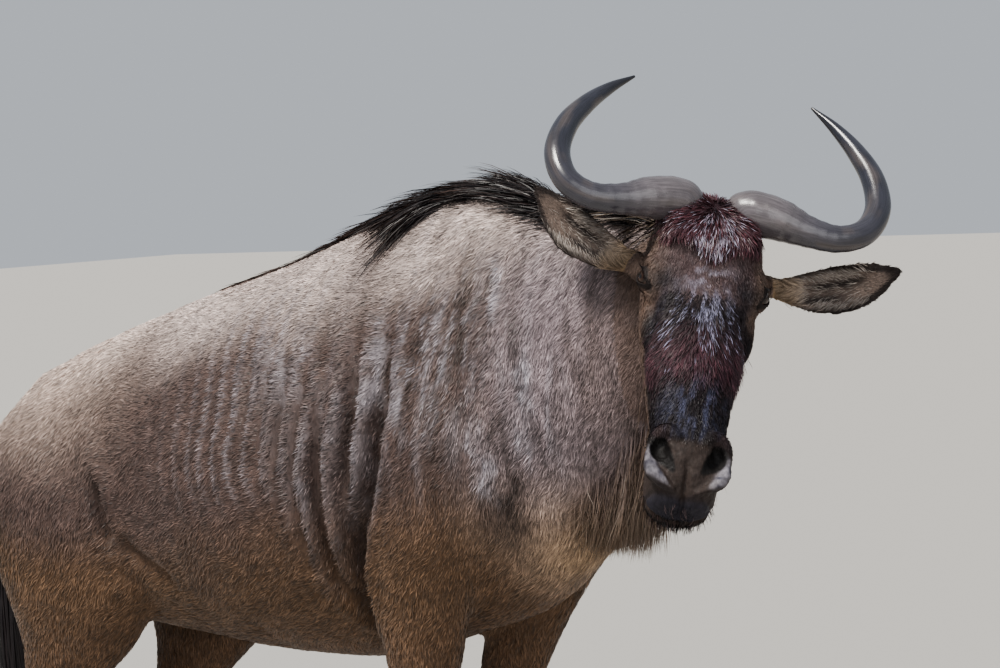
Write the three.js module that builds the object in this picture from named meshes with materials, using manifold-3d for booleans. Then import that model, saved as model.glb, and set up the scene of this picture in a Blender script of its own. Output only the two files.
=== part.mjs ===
// A life-size blue wildebeest that stands square and turns its head to its right.
// Millimetres, +Z up, +X forward, +Y the animal's left. The floor is the plane z = 0.
import * as THREE from "three";
import { mergeVertices } from "three/addons/utils/BufferGeometryUtils.js";
import Module from "manifold-3d";

const wasm = await Module();
wasm.setup();

// Driving dimensions
const GAP = 0.3; // between two nodes that touch
const FACET = 0.7; // how far a facet may be merged off the true form
const WITHERS_HEIGHT = 1240; // skin at the hump, without the mane
const CROUP_HEIGHT = 1045;
const BELLY_HEIGHT = 572;
const BRISKET_HEIGHT = 640;
const RIB_HALF_WIDTH = 240;
const STANCE = 122; // from the middle plane to the middle of each foot
const HEAD_LENGTH = 478; // poll to the end of the upper lip
const FOREHEAD_HALF_WIDTH = 84;
const MUZZLE_HALF_WIDTH = 53;
const HORN_REACH = 226; // from the middle of the head to the outer bend
const HORN_BASE_RADIUS = 31;
const EAR_LENGTH = 205;
const EYE_RADIUS = 19;
const TAIL_DOCK_LENGTH = 300;

// Where the head is, and how it turns: turn is about Z, tilt about X, nod about Y
const POLL = new THREE.Vector3(480, -53, 1222);
const HEAD_TURN = -42.2;
const HEAD_TILT = -13.1;
const HEAD_NOD = -32;

const { degToRad, lerp, clamp, smoothstep } = THREE.MathUtils;
const V = (x, y, z) => new THREE.Vector3(x, y, z);

// Small repeatable random numbers from 0 to 1
function seededRandom(seed) {
  let state = seed;
  return () => {
    state = (state * 16807) % 2147483647;
    return state / 2147483647;
  };
}

// Solids and booleans

function toSolid(geometry) {
  const plain = geometry.clone();
  plain.deleteAttribute("normal");
  plain.deleteAttribute("uv");
  const merged = mergeVertices(plain, 1e-3);
  const mesh = {
    numProp: 3,
    vertProperties: new Float32Array(merged.attributes.position.array),
    triVerts: new Uint32Array(merged.index.array),
  };
  const solid = new wasm.Manifold(new wasm.Mesh(mesh));
  if (solid.volume() > 0) return solid;
  for (let i = 0; i < mesh.triVerts.length; i += 3) {
    const second = mesh.triVerts[i + 1];
    mesh.triVerts[i + 1] = mesh.triVerts[i + 2];
    mesh.triVerts[i + 2] = second;
  }
  return new wasm.Manifold(new wasm.Mesh(mesh));
}

function toGeometry(solid) {
  const mesh = solid.getMesh();
  const places = new Float32Array(mesh.numVert * 3);
  for (let i = 0; i < mesh.numVert; i++) {
    places.set(mesh.vertProperties.subarray(i * mesh.numProp, i * mesh.numProp + 3), i * 3);
  }
  const geometry = new THREE.BufferGeometry();
  geometry.setAttribute("position", new THREE.BufferAttribute(places, 3));
  geometry.setIndex(new THREE.BufferAttribute(mesh.triVerts, 1));
  geometry.computeVertexNormals();
  return geometry;
}

const join = (solids) => solids.reduce((all, solid) => all.add(solid));
const largest = (solid) => solid.decompose().reduce((a, b) => (b.volume() > a.volume() ? b : a));

// A closed surface over a sphere's grid: place(share, angle) gives a point for each share of the
// length, from one pole to the other, and each angle round it.
function skinOver(around, along, place) {
  const geometry = new THREE.SphereGeometry(1, around, along);
  const { position, uv } = geometry.attributes;
  for (let i = 0; i < position.count; i++) {
    const share = 1 - uv.getY(i);
    const point = place(share, uv.getX(i) * 2 * Math.PI);
    position.setXYZ(i, point.x, point.y, point.z);
  }
  return geometry;
}

// The part of a superellipse's half-axis that an angle reaches
const bulge = (wave, power) => Math.sign(wave) * Math.abs(wave) ** (2 / power);

// How far along a capped body a share of its grid is: t runs from 0 to 1 between the caps, out is
// how far past the end the cap stands, and size is how much of the section is left there.
function capped(share, capShare) {
  const start = share / capShare;
  const end = (1 - share) / capShare;
  if (start < 1) return { t: 0, out: -Math.cos((start * Math.PI) / 2), size: Math.sin((start * Math.PI) / 2) };
  if (end < 1) return { t: 1, out: Math.cos((end * Math.PI) / 2), size: Math.sin((end * Math.PI) / 2) };
  return { t: (share - capShare) / (1 - 2 * capShare), out: 0, size: 1 };
}

// A body lofted through stations. Each station has a middle (at), half a width (w), a reach on
// either side of the middle (u and v), two powers that say how square it is there (pu and pv),
// and a turn and a lift of its section in degrees. side and rise are the section's axes.
class Loft {
  constructor(stations, side, rise, caps) {
    const full = stations.map((s) => ({ pu: 2, pv: 2, turn: 0, lift: 0, ...s }));
    const curve = (pick) => new THREE.CatmullRomCurve3(full.map(pick), false, "catmullrom", 0.5);
    this.middle = curve((s) => V(...s.at));
    this.sizes = curve((s) => V(s.w, s.u, s.v));
    this.powers = curve((s) => V(s.pu, s.pv, 0));
    this.turns = curve((s) => V(s.turn, s.lift, 0));
    this.side = side;
    this.rise = rise;
    this.caps = caps;
  }

  // The point at t along and at an angle round, with the section scaled by size and grown
  at(t, angle, size = 1, out = 0, grow = 0) {
    const sizes = this.sizes.getPoint(t);
    const powers = this.powers.getPoint(t);
    const turns = this.turns.getPoint(t);
    const turn = new THREE.Quaternion().setFromAxisAngle(V(0, 0, 1), degToRad(turns.x));
    const lift = new THREE.Quaternion().setFromAxisAngle(V(0, 1, 0), degToRad(-turns.y));
    const frame = turn.multiply(lift);
    const side = this.side.clone().applyQuaternion(frame);
    const rise = this.rise.clone().applyQuaternion(frame);
    const onward = this.middle.getTangent(clamp(t, 0.001, 0.999));
    const sideWave = Math.cos(angle);
    const riseWave = Math.sin(angle);
    const power = riseWave > 0 ? powers.x : powers.y;
    const reach = (riseWave > 0 ? sizes.y : sizes.z) + grow;
    const cap = out < 0 ? this.caps[0] + grow : this.caps[1] + grow;
    return this.middle
      .getPoint(t)
      .addScaledVector(side, (sizes.x + grow) * size * bulge(sideWave, power))
      .addScaledVector(rise, reach * size * bulge(riseWave, power))
      .addScaledVector(onward, out * cap);
  }

  // The direction that the surface faces there
  facing(t, angle) {
    const step = 0.004;
    const along = this.at(Math.min(t + step, 1), angle).sub(this.at(Math.max(t - step, 0), angle));
    const round = this.at(t, angle + step * 6).sub(this.at(t, angle - step * 6));
    const normal = along.cross(round).normalize();
    const outward = this.at(t, angle).sub(this.middle.getPoint(t));
    return normal.dot(outward) < 0 ? normal.negate() : normal;
  }

  solid(around, along, grow = 0) {
    const capShare = 2.5 / along;
    return toSolid(
      skinOver(around, along, (share, angle) => {
        const { t, out, size } = capped(share, capShare);
        return this.at(t, angle, size, out, grow);
      }),
    );
  }
}

// A round or flattened tube through points, with a radius at each. flat squashes it along squash.
function taperedTube(points, radii, around, along, grow = 0, flat = 1, squash = V(0, 0, 1)) {
  const curve = new THREE.CatmullRomCurve3(points);
  const sizes = new THREE.CatmullRomCurve3(radii.map((r) => V(r, 0, 0)));
  const capShare = 1.5 / along;
  const place = (share, angle) => {
    const { t, out, size } = capped(share, capShare);
    const onward = curve.getTangent(clamp(t, 0.001, 0.999));
    const thin = squash.clone().addScaledVector(onward, -squash.dot(onward)).normalize();
    const wide = onward.clone().cross(thin);
    const radius = sizes.getPoint(t).x + grow;
    return curve
      .getPoint(t)
      .addScaledVector(wide, radius * size * Math.cos(angle))
      .addScaledVector(thin, radius * flat * size * Math.sin(angle))
      .addScaledVector(onward, out * radius * 0.7);
  };
  return toSolid(skinOver(around, along, place));
}

function ellipsoid(at, radii, around = 16, along = 10) {
  const geometry = new THREE.SphereGeometry(1, around, along);
  geometry.scale(radii.x, radii.y, radii.z).translate(at.x, at.y, at.z);
  return toSolid(geometry);
}

// A thin plate across a limb, which parts it from the body. Its width lies along side.
function slab(at, facing, width, height = width, side = V(0, 1, 0)) {
  const thin = facing.clone().normalize();
  const across = side.clone().addScaledVector(thin, -side.dot(thin)).normalize();
  const basis = new THREE.Matrix4().makeBasis(across, thin.clone().cross(across), thin).setPosition(at);
  return toSolid(new THREE.BoxGeometry(width, height, GAP).applyMatrix4(basis));
}

// The trunk and the neck

const BODY_SIDE = V(0, 1, 0);
const BODY_RISE = V(0, 0, 1);

// One section of the trunk, from the heights of its top, its widest place and its bottom
function trunkStation(x, top, wide, bottom, w, pu, pv) {
  return { at: [x, 0, wide], w, u: top - wide, v: wide - bottom, pu, pv };
}

const torsoLoft = new Loft(
  [
    trunkStation(-895, CROUP_HEIGHT - 85, 865, 740, 108, 2.0, 2.0),
    trunkStation(-810, CROUP_HEIGHT - 27, 862, 680, 165, 1.9, 2.1),
    trunkStation(-690, CROUP_HEIGHT + 13, 862, 622, 196, 1.8, 2.2),
    trunkStation(-530, CROUP_HEIGHT + 60, 842, BELLY_HEIGHT + 26, RIB_HALF_WIDTH - 28, 1.8, 2.3),
    trunkStation(-365, CROUP_HEIGHT + 102, 828, BELLY_HEIGHT + 6, RIB_HALF_WIDTH - 2, 1.75, 2.3),
    trunkStation(-205, CROUP_HEIGHT + 152, 835, BELLY_HEIGHT, RIB_HALF_WIDTH, 1.65, 2.2),
    trunkStation(-70, WITHERS_HEIGHT - 6, 858, BELLY_HEIGHT + 30, RIB_HALF_WIDTH - 26, 1.55, 2.1),
    trunkStation(60, WITHERS_HEIGHT, 890, BRISKET_HEIGHT - 4, 182, 1.6, 2.0),
    trunkStation(165, WITHERS_HEIGHT - 28, 925, BRISKET_HEIGHT + 66, 134, 1.7, 2.0),
  ],
  BODY_SIDE,
  BODY_RISE,
  [45, 58],
);

const neckLoft = new Loft(
  [
    { at: [20, 0, 930], w: 168, u: 290, v: 255, pu: 1.7, pv: 2, turn: 0, lift: 0 },
    { at: [150, 0, 965], w: 142, u: 252, v: 222, pu: 1.7, pv: 2, turn: -4, lift: 6 },
    { at: [255, -8, 1010], w: 116, u: 206, v: 176, pu: 1.8, pv: 2, turn: -12, lift: 14 },
    { at: [345, -22, 1062], w: 98, u: 156, v: 140, pu: 1.9, pv: 2, turn: -22, lift: 20 },
    { at: [408, -36, 1104], w: 84, u: 104, v: 100, pu: 2, pv: 2, turn: -32, lift: 24 },
  ],
  BODY_SIDE,
  BODY_RISE,
  [40, 30],
);

// The head in its own frame: the poll is the origin, +X faces out of the forehead, +Y is the
// animal's left, and the face runs down along -Z.

const headPose = new THREE.Matrix4()
  .makeRotationFromEuler(
    new THREE.Euler(degToRad(HEAD_TILT), degToRad(HEAD_NOD), degToRad(HEAD_TURN), "ZXY"),
  )
  .setPosition(POLL);
const posed = (solid) => solid.transform(headPose.toArray());

// One section of the head: how far down the face it is, the face line, the jaw line, half a width
function headStation(down, face, jaw, w, pu, pv, wide = 0.45) {
  const middle = lerp(jaw, face, wide);
  return { at: [middle, 0, -down], w, u: face - middle, v: middle - jaw, pu, pv };
}

const headLoft = new Loft(
  [
    headStation(2, -14, -110, 58, 2.4, 2.2),
    headStation(48, 5, -165, FOREHEAD_HALF_WIDTH - 6, 2.7, 2.2, 0.6),
    headStation(100, 6, -200, FOREHEAD_HALF_WIDTH - 2, 2.8, 2.1, 0.66),
    headStation(150, 3, -208, FOREHEAD_HALF_WIDTH - 7, 2.6, 2.1, 0.62),
    headStation(208, 1, -190, FOREHEAD_HALF_WIDTH - 16, 2.4, 2.2, 0.58),
    headStation(268, -2, -160, FOREHEAD_HALF_WIDTH - 23, 2.4, 2.2, 0.55),
    headStation(325, -6, -136, MUZZLE_HALF_WIDTH + 2, 2.5, 2.3, 0.52),
    headStation(378, -8, -122, MUZZLE_HALF_WIDTH - 4, 2.8, 2.5, 0.5),
    headStation(422, -16, -120, MUZZLE_HALF_WIDTH - 3, 3.0, 2.7, 0.46),
    headStation(HEAD_LENGTH - 24, -34, -116, MUZZLE_HALF_WIDTH - 8, 2.8, 2.6, 0.42),
  ],
  V(0, 1, 0),
  V(1, 0, 0),
  [22, 22],
);

// A point of the head's frame on the animal's left, or on its right with side -1
const faceSide = (out, down, forward, side) => V(forward, out * side, -down);

const EYE_OUT = 75;
const EYE_DOWN = 125;
const EYE_FORWARD = -44;
const EYE_FORWARD_TURN = 22; // degrees from straight out

const eyeMiddle = (side) => faceSide(EYE_OUT, EYE_DOWN, EYE_FORWARD, side);

// The brow over the eye and the cheek bone below it
function orbit(side) {
  const brow = ellipsoid(faceSide(EYE_OUT - 17, EYE_DOWN - 6, EYE_FORWARD + 3, side), V(31, 30, 42), 12, 8);
  const cheek = ellipsoid(faceSide(EYE_OUT - 17, EYE_DOWN + 46, EYE_FORWARD - 14, side), V(22, 22, 60), 12, 8);
  return brow.add(cheek);
}

// The way that an eye looks: outward, and a little forward
const gaze = (side) => V(Math.sin(degToRad(EYE_FORWARD_TURN)), side * Math.cos(degToRad(EYE_FORWARD_TURN)), 0);

// Upper and lower lid as one almond ring round the eye, which sits on the ball
const LID_RADIUS = EYE_RADIUS * 0.84;
const LID_THICKNESS = 5.4;

function lids(side) {
  const ring = new THREE.TorusGeometry(LID_RADIUS, LID_THICKNESS, 5, 12);
  ring.scale(0.86, 1.16, 1);
  ring.rotateZ(degToRad(-24 * side));
  ring.applyQuaternion(new THREE.Quaternion().setFromUnitVectors(V(0, 0, 1), gaze(side)));
  const at = eyeMiddle(side).addScaledVector(gaze(side), EYE_RADIUS * 0.58);
  ring.translate(at.x, at.y, at.z);
  return toSolid(ring);
}

const eyeball = (side, grow = 0) => {
  const radius = EYE_RADIUS + grow;
  return ellipsoid(eyeMiddle(side), V(radius, radius, radius), 12, 8);
};

// The nostril is a deep opening, with a rim over it and a swollen wing that curves in below it
function nostrilHole(side) {
  const points = [
    faceSide(43, 404, -34, side),
    faceSide(39, 412, -16, side),
    faceSide(30, 424, -8, side),
    faceSide(20, 436, -10, side),
  ];
  return taperedTube(points, [12, 12, 10, 4], 8, 6, 0, 1.1, V(1, 0, 0));
}

function nostrilWing(side) {
  const points = [
    faceSide(22, 400, -16, side),
    faceSide(34, 391, -16, side),
    faceSide(47, 401, -34, side),
    faceSide(47, 428, -34, side),
    faceSide(37, 448, -33, side),
    faceSide(18, 457, -38, side),
  ];
  return taperedTube(points, [7, 9, 10, 12, 13, 9], 8, 9);
}

// The line of the mouth: a groove that runs round the muzzle from corner to corner
function mouthLine() {
  const depth = 9;
  const plate = new THREE.BoxGeometry(4.5, 220, 150);
  plate.rotateY(degToRad(-4)).translate(-88, 0, -(HEAD_LENGTH - 45));
  return toSolid(plate).subtract(headLoft.solid(24, 26, -depth));
}

// Horns: the boss by the forelock, out and down past the ear, then up and in to the tip

const HORN_PATH = [
  // share of the reach, down the face, out of the face
  [0.13, 14, -26],
  [0.22, 8, -17],
  [0.4, 18, -7],
  [0.58, 31, -3],
  [0.77, 34, -3],
  [0.93, 14, -5],
  [1.0, -29, -10],
  [0.96, -80, -18],
  [0.85, -126, -28],
  [0.71, -165, -37],
  [0.56, -196, -44],
];
const HORN_GIRTH = [0.8, 1.0, 0.96, 0.72, 0.62, 0.6, 0.6, 0.55, 0.44, 0.28, 0.07];

function horn(side, grow = 0) {
  const points = HORN_PATH.map(([share, down, out]) => faceSide(share * HORN_REACH, down, out, side));
  const radii = HORN_GIRTH.map((share) => share * HORN_BASE_RADIUS);
  return taperedTube(points, radii, 10, 25, grow, 1, V(1, 0, 0.2));
}

// Ears: a leaf that is cupped towards the front. tip is the way that it points.

const EAR_ROOT = { out: 90, down: 85, forward: -76 };
const EAR_TIPS = { 1: V(12, 180, 54), [-1]: V(-32, -140, 110) };
const EAR_HALF_WIDTH = 37;
const EAR_WALL = 5;
const EAR_CUP = 24;
const EAR_BEND = 17; // how far the middle of the leaf lies below the line to its tip

// The leaf's half width at a share of its length
const leafWidth = (t) => EAR_HALF_WIDTH * Math.sin(Math.PI * (0.1 + 0.875 * t) ** 1.35) ** 0.75;

function ear(side) {
  const root = faceSide(EAR_ROOT.out, EAR_ROOT.down, EAR_ROOT.forward, side);
  const onward = EAR_TIPS[side].clone().normalize();
  const open = V(0.9, 0.25 * side, -0.35);
  open.addScaledVector(onward, -open.dot(onward)).normalize();
  const across = onward.clone().cross(open).normalize();
  const place = (share, angle) => {
    const { t, out, size } = capped(share, 0.08);
    const width = leafWidth(t) * size;
    const wave = Math.cos(angle);
    const offset = (width * wave) / EAR_HALF_WIDTH;
    const cup = EAR_CUP * (1 - offset * offset) * Math.sin(Math.PI * (0.1 + 0.8 * t));
    const wall = EAR_WALL * size * lerp(1.5, 0.7, t) * Math.sin(angle);
    return root
      .clone()
      .addScaledVector(onward, t * EAR_LENGTH + out * 3 - 12)
      .addScaledVector(across, width * wave + side * EAR_BEND * Math.sin(Math.PI * t))
      .addScaledVector(open, -cup + wall + 8);
  };
  const stem = taperedTube(
    [root.clone().addScaledVector(onward, -24), root, root.clone().addScaledVector(onward, 24).addScaledVector(open, -14)],
    [21, 19, 9],
    8,
    5,
    0,
    0.8,
    open,
  );
  return toSolid(skinOver(12, 13, place)).add(stem);
}

// Legs, from the shoulder or hip to the coronet

const DOWN_SIDE = V(0, 1, 0);
const DOWN_RISE = V(1, 0, 0);

function legStation(x, y, z, front, back, w, side) {
  return { at: [x, y * side, z], w, u: front, v: back };
}

const foreLeg = (side, swing) =>
  new Loft(
    [
      legStation(10, 94, 1050, 62, 72, 50, side),
      legStation(25, 122, 915, 112, 108, 82, side),
      legStation(5, 138, 775, 105, 105, 78, side),
      legStation(-35 + swing * 0.2, 134, 672, 78, 88, 60, side),
      legStation(-62 + swing * 0.5, STANCE + 4, 570, 58, 58, 48, side),
      legStation(-84 + swing * 0.8, STANCE, 450, 38, 38, 35, side),
      legStation(-90 + swing, STANCE - 2, 372, 38, 33, 34, side),
      legStation(-93 + swing, STANCE - 4, 318, 28, 28, 27, side),
      legStation(-96 + swing, STANCE - 4, 215, 20, 22, 19, side),
      legStation(-98 + swing, STANCE - 2, 130, 27, 31, 27, side),
      legStation(-86 + swing, STANCE - 2, 88, 24, 24, 25, side),
      legStation(-74 + swing, STANCE - 2, 55, 34, 36, 34, side),
    ],
    DOWN_SIDE,
    DOWN_RISE,
    [30, 14],
  );

const hindLeg = (side, swing) =>
  new Loft(
    [
      legStation(-735, 78, 985, 96, 96, 55, side),
      legStation(-758, 116, 880, 145, 152, 82, side),
      legStation(-745, 136, 765, 172, 158, 82, side),
      legStation(-738, 138, 672, 170, 120, 68, side),
      legStation(-750 + swing * 0.3, STANCE + 8, 596, 124, 90, 54, side),
      legStation(-785 + swing * 0.5, STANCE + 3, 532, 72, 64, 43, side),
      legStation(-824 + swing * 0.7, STANCE, 474, 46, 47, 36, side),
      legStation(-862 + swing * 0.9, STANCE - 2, 412, 40, 42, 31, side),
      legStation(-868 + swing, STANCE - 4, 352, 32, 30, 27, side),
      legStation(-858 + swing, STANCE - 4, 240, 22, 23, 21, side),
      legStation(-850 + swing, STANCE - 2, 132, 27, 31, 27, side),
      legStation(-836 + swing, STANCE - 2, 88, 24, 24, 25, side),
      legStation(-824 + swing, STANCE - 2, 55, 34, 36, 34, side),
    ],
    DOWN_SIDE,
    DOWN_RISE,
    [30, 14],
  );

const CORONET = 52; // height of the cut between the skin and the hooves
const FRONT_TOE = -74; // where the foot of an unswung leg stands
const HIND_TOE = -824;
const foot = (leg, side, swing, toe) => ({ loft: leg(side, swing), side, toe: toe + swing });
const FEET = {
  front_left: foot(foreLeg, 1, -72, FRONT_TOE),
  front_right: foot(foreLeg, -1, 26, FRONT_TOE),
  hind_left: foot(hindLeg, 1, 52, HIND_TOE),
  hind_right: foot(hindLeg, -1, -4, HIND_TOE),
};

// Two dewclaws behind the fetlock
function dewclaws(foot) {
  const claw = (across) =>
    ellipsoid(V(foot.toe - 48, (STANCE - 2) * foot.side + across, 112), V(11, 8, 17), 6, 4);
  return claw(-15).add(claw(15));
}

// One of a foot's two claws: a wedge with a flat sole and an arched front
const HOOF_HALF_WIDTH = 17;
const HOOF_LENGTH = 84;

function hoof(foot, across) {
  const outline = new THREE.Shape();
  outline.moveTo(-HOOF_LENGTH * 0.4, 0);
  outline.lineTo(HOOF_LENGTH * 0.56, 0);
  outline.quadraticCurveTo(HOOF_LENGTH * 0.5, CORONET * 0.42, HOOF_LENGTH * 0.3, CORONET - 0.4);
  outline.lineTo(-HOOF_LENGTH * 0.37, CORONET - 0.4);
  outline.quadraticCurveTo(-HOOF_LENGTH * 0.52, CORONET * 0.35, -HOOF_LENGTH * 0.4, 0);
  const width = HOOF_HALF_WIDTH * 2;
  const block = new THREE.ExtrudeGeometry(outline, { depth: width, bevelEnabled: false, curveSegments: 3, steps: 2 });
  block.rotateX(Math.PI / 2).translate(0, width / 2, 0);
  // The toe narrows to a point, and the outer wall leans out towards the sole
  const outward = Math.sign(across);
  const { position } = block.attributes;
  for (let i = 0; i < position.count; i++) {
    const x = position.getX(i);
    const inner = position.getY(i) * outward < 0;
    const narrow = 1 - smoothstep(x, HOOF_LENGTH * 0.05, HOOF_LENGTH * 0.62) * (inner ? 0.35 : 0.8);
    const lean = inner ? 1 : lerp(1.12, 0.92, position.getZ(i) / CORONET);
    position.setY(i, position.getY(i) * narrow * lean);
  }
  block.translate(foot.toe, (STANCE - 2) * foot.side + across, 0);
  return toSolid(block);
}

// The tail's dock hangs from the croup
const DOCK_ROOT = V(-905, 0, 925);

const dockPath = [
  DOCK_ROOT,
  V(-952, 0, 905),
  V(-978, 2, 850),
  V(-984, 5, 770),
  V(-980, 6, 920 - TAIL_DOCK_LENGTH),
];
const tailDock = () => taperedTube(dockPath, [26, 25, 20, 17, 11], 10, 12);

// Hair: flat, tapered locks that leave their roots, bend over and lie or hang

const LOCK_SIDES = 4;
const LOCK_STEPS = 5;
const ROOT_DEPTH = 16; // how far a lock's root is sunk in

// How wide a lock is at a share of its length: a narrow root, a full middle and a pointed end
const lockTaper = (share) => Math.sin(Math.PI * share ** 0.62) ** 0.8;

function lock(points, halfWidth, halfThick, thinWay) {
  const curve = new THREE.CatmullRomCurve3(points);
  const place = (share, angle) => {
    const onward = curve.getTangent(clamp(share, 0.001, 0.999));
    const thin = thinWay.clone().addScaledVector(onward, -thinWay.dot(onward)).normalize();
    const wide = onward.clone().cross(thin);
    const size = share > 0 && share < 1 ? lockTaper(share) : 0;
    return curve
      .getPoint(share)
      .addScaledVector(wide, halfWidth * size * Math.cos(angle))
      .addScaledVector(thin, halfThick * size * Math.sin(angle));
  };
  return toSolid(skinOver(LOCK_SIDES, LOCK_STEPS, place));
}

// A lock that rises a little from the skin, lies along a direction and droops at its end
function lyingLock(root, rise, way, length, lift, droop, halfWidth, halfThick) {
  const lie = way.clone().addScaledVector(rise, -way.dot(rise)).normalize();
  const along = (share, up, drop) =>
    root.clone().addScaledVector(lie, length * share).addScaledVector(rise, lift * up).add(V(0, 0, -droop * drop));
  const points = [
    root.clone().addScaledVector(rise, -ROOT_DEPTH),
    along(0.14, 0.65, 0),
    along(0.55, 1, 0.3),
    along(1, 0.7, 1),
  ];
  return lock(points, halfWidth, halfThick, rise);
}

// A lock that hangs from its root, and swings a little to one side
function hangingLock(root, rise, swing, length, halfWidth, halfThick) {
  const points = [
    root.clone().addScaledVector(rise, -ROOT_DEPTH),
    root.clone().addScaledVector(rise, 5).add(V(0, 0, -length * 0.2)),
    root.clone().addScaledVector(rise, 6).addScaledVector(swing, 0.5).add(V(0, 0, -length * 0.6)),
    root.clone().add(swing).add(V(0, 0, -length)),
  ];
  return lock(points, halfWidth, halfThick, V(rise.y, rise.x, 0.1).normalize());
}

// The share of a loft's length at which its middle reaches a value along one axis
function shareAt(loft, axis, value) {
  const steps = 200;
  let best = 0;
  for (let i = 0; i <= steps; i++) {
    const here = Math.abs(loft.middle.getPoint(i / steps)[axis] - value);
    const before = Math.abs(loft.middle.getPoint(best)[axis] - value);
    if (here < before) best = i / steps;
  }
  return best;
}

// The mane runs from the poll over the withers to the middle of the back
const MANE_FRONT = 385;
const MANE_BACK = -440;
const MANE_ROOTS = 16;
const MANE_LENGTH = 108;
const MANE_SPREAD = 0.16; // angle from the crest to a root on either side of it

function maneLocks() {
  const random = seededRandom(11);
  const locks = [];
  for (let i = 0; i < MANE_ROOTS; i++) {
    const x = lerp(MANE_FRONT, MANE_BACK, i / (MANE_ROOTS - 1));
    const loft = x > 45 ? neckLoft : torsoLoft;
    const t = shareAt(loft, "x", x);
    const fade = smoothstep(-x, 0, 280); // the mane ends in short flat hair
    const overHump = smoothstep(x, -230, -90) * (1 - smoothstep(x, 40, 90));
    const sides = x > -150 ? [-1, 1] : [i % 2 ? 1 : -1];
    for (const side of sides) {
      const angle = Math.PI / 2 - side * MANE_SPREAD * (0.5 + 0.6 * random()) * lerp(1, 0.5, fade);
      const falls = side < 0 ? overHump : 0; // over the hump it falls to the animal's right
      const way = V(-1, side * (0.3 + 0.3 * random() + 0.9 * falls), 0);
      const length = MANE_LENGTH * lerp(1, 0.72, fade) * (1 + 0.35 * falls) * (0.85 + 0.3 * random());
      const lift = lerp(18 + 22 * overHump, 6, fade);
      const width = lerp(23, 19, fade);
      const droop = length * (0.14 + 0.3 * falls);
      locks.push(lyingLock(loft.at(t, angle), loft.facing(t, angle), way, length, lift, droop, width, 6.5));
    }
  }
  return locks;
}

// The beard hangs from the throat and the underside of the neck
const BEARD_ROOTS = 9;
const BEARD_LENGTH = 165;

function beardLocks() {
  const random = seededRandom(29);
  const locks = [];
  for (let i = 0; i < BEARD_ROOTS; i++) {
    const t = lerp(0.3, 0.86, i / (BEARD_ROOTS - 1));
    const length = BEARD_LENGTH * lerp(0.6, 1, smoothstep(t, 0.3, 0.75));
    for (const side of [-1, 1]) {
      const angle = -Math.PI / 2 + side * (0.08 + 0.16 * random());
      const root = neckLoft.at(t, angle);
      const swing = V(-14 + 10 * random(), side * (6 + 8 * random()), 0);
      locks.push(hangingLock(root, neckLoft.facing(t, angle), swing, length * (0.8 + 0.35 * random()), 22, 7));
    }
  }
  return locks;
}

// Shorter hair hangs from the jaw, from its corner to the chin
const JAW_ROOTS = 6;

function jawLocks() {
  const random = seededRandom(43);
  const locks = [];
  for (let i = 0; i < JAW_ROOTS; i++) {
    const t = lerp(0.36, 0.86, i / (JAW_ROOTS - 1));
    const side = i % 2 ? 1 : -1;
    const angle = -Math.PI / 2 + side * 0.2;
    const root = headPoint(headLoft.at(t, angle));
    const rise = headWay(headLoft.facing(t, angle));
    const length = lerp(120, 62, t) * (0.9 + 0.2 * random());
    locks.push(hangingLock(root, rise, V(-6, side * 5, 0), length, 15, 6));
  }
  return locks;
}

// The forelock covers the crown between the horns and lies down the forehead
const FORELOCK_ROWS = [12, 38, 70, 104];

function forelockLocks() {
  const random = seededRandom(67);
  const locks = [];
  FORELOCK_ROWS.forEach((down, row) => {
    const t = shareAt(headLoft, "z", -down);
    const lanes = row % 2 ? [-0.42, -0.14, 0.14, 0.42] : [-0.28, 0, 0.28];
    for (const lane of lanes) {
      const angle = Math.PI / 2 - lane * (row ? 1.6 : 1);
      const root = headPoint(headLoft.at(t, angle));
      const rise = headWay(headLoft.facing(t, angle));
      const way = headWay(V(0, lane * 0.8 + 0.2 * (random() - 0.5), -1));
      locks.push(lyingLock(root, rise, way, 56 + 14 * random(), 9, 0, 13, 5));
    }
  });
  return locks;
}

// The tuft clothes the lower part of the tail
const TUFT_RINGS = 4;
const TUFT_END = 290; // height of its longest hairs over the floor

function tuftLocks() {
  const random = seededRandom(83);
  const dock = new THREE.CatmullRomCurve3(dockPath);
  const locks = [];
  for (let ring = 0; ring < TUFT_RINGS; ring++) {
    const middle = dock.getPoint(lerp(0.45, 0.99, ring / (TUFT_RINGS - 1)));
    for (let i = 0; i < 4; i++) {
      const angle = (i + 0.5 * (ring % 2)) * (Math.PI / 2) + 0.3 * random();
      const rise = V(Math.cos(angle), Math.sin(angle), 0);
      const root = middle.clone().addScaledVector(rise, 8);
      const reach = lerp(middle.z - 200, middle.z - TUFT_END, ring / (TUFT_RINGS - 1));
      const swing = rise.clone().multiplyScalar(12 + 16 * random());
      locks.push(hangingLock(root, rise.clone().multiplyScalar(0.6), swing, reach * (0.88 + 0.12 * random()), 21, 9));
    }
  }
  return locks;
}

// The whole of the flesh as one solid, with its openings cut

function wholeBody() {
  const legs = Object.values(FEET).map((foot) => foot.loft.solid(10, 26).add(dewclaws(foot)));
  const sides = [1, -1];
  let head = headLoft.solid(24, 26);
  head = join([head, ...sides.map(orbit), ...sides.map(lids), ...sides.map(nostrilWing)]);
  head = sides.reduce((rest, side) => rest.subtract(nostrilHole(side)), head).subtract(mouthLine());
  head = join([head, ...sides.map((side) => ear(side))]);
  const hair = [...maneLocks(), ...beardLocks(), ...jawLocks(), ...forelockLocks(), ...tuftLocks()];
  const trunk = join([torsoLoft.solid(24, 28), neckLoft.solid(20, 14), ...legs]).simplify(FACET);
  const flesh = join([trunk, posed(head.simplify(FACET * 0.6)), tailDock(), ...hair]);
  const bones = sides.flatMap((side) => [eyeball(side, GAP), horn(side, GAP)]).map(posed);
  return largest(bones.reduce((rest, bone) => rest.subtract(bone), flesh.simplify(FACET)));
}

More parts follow.
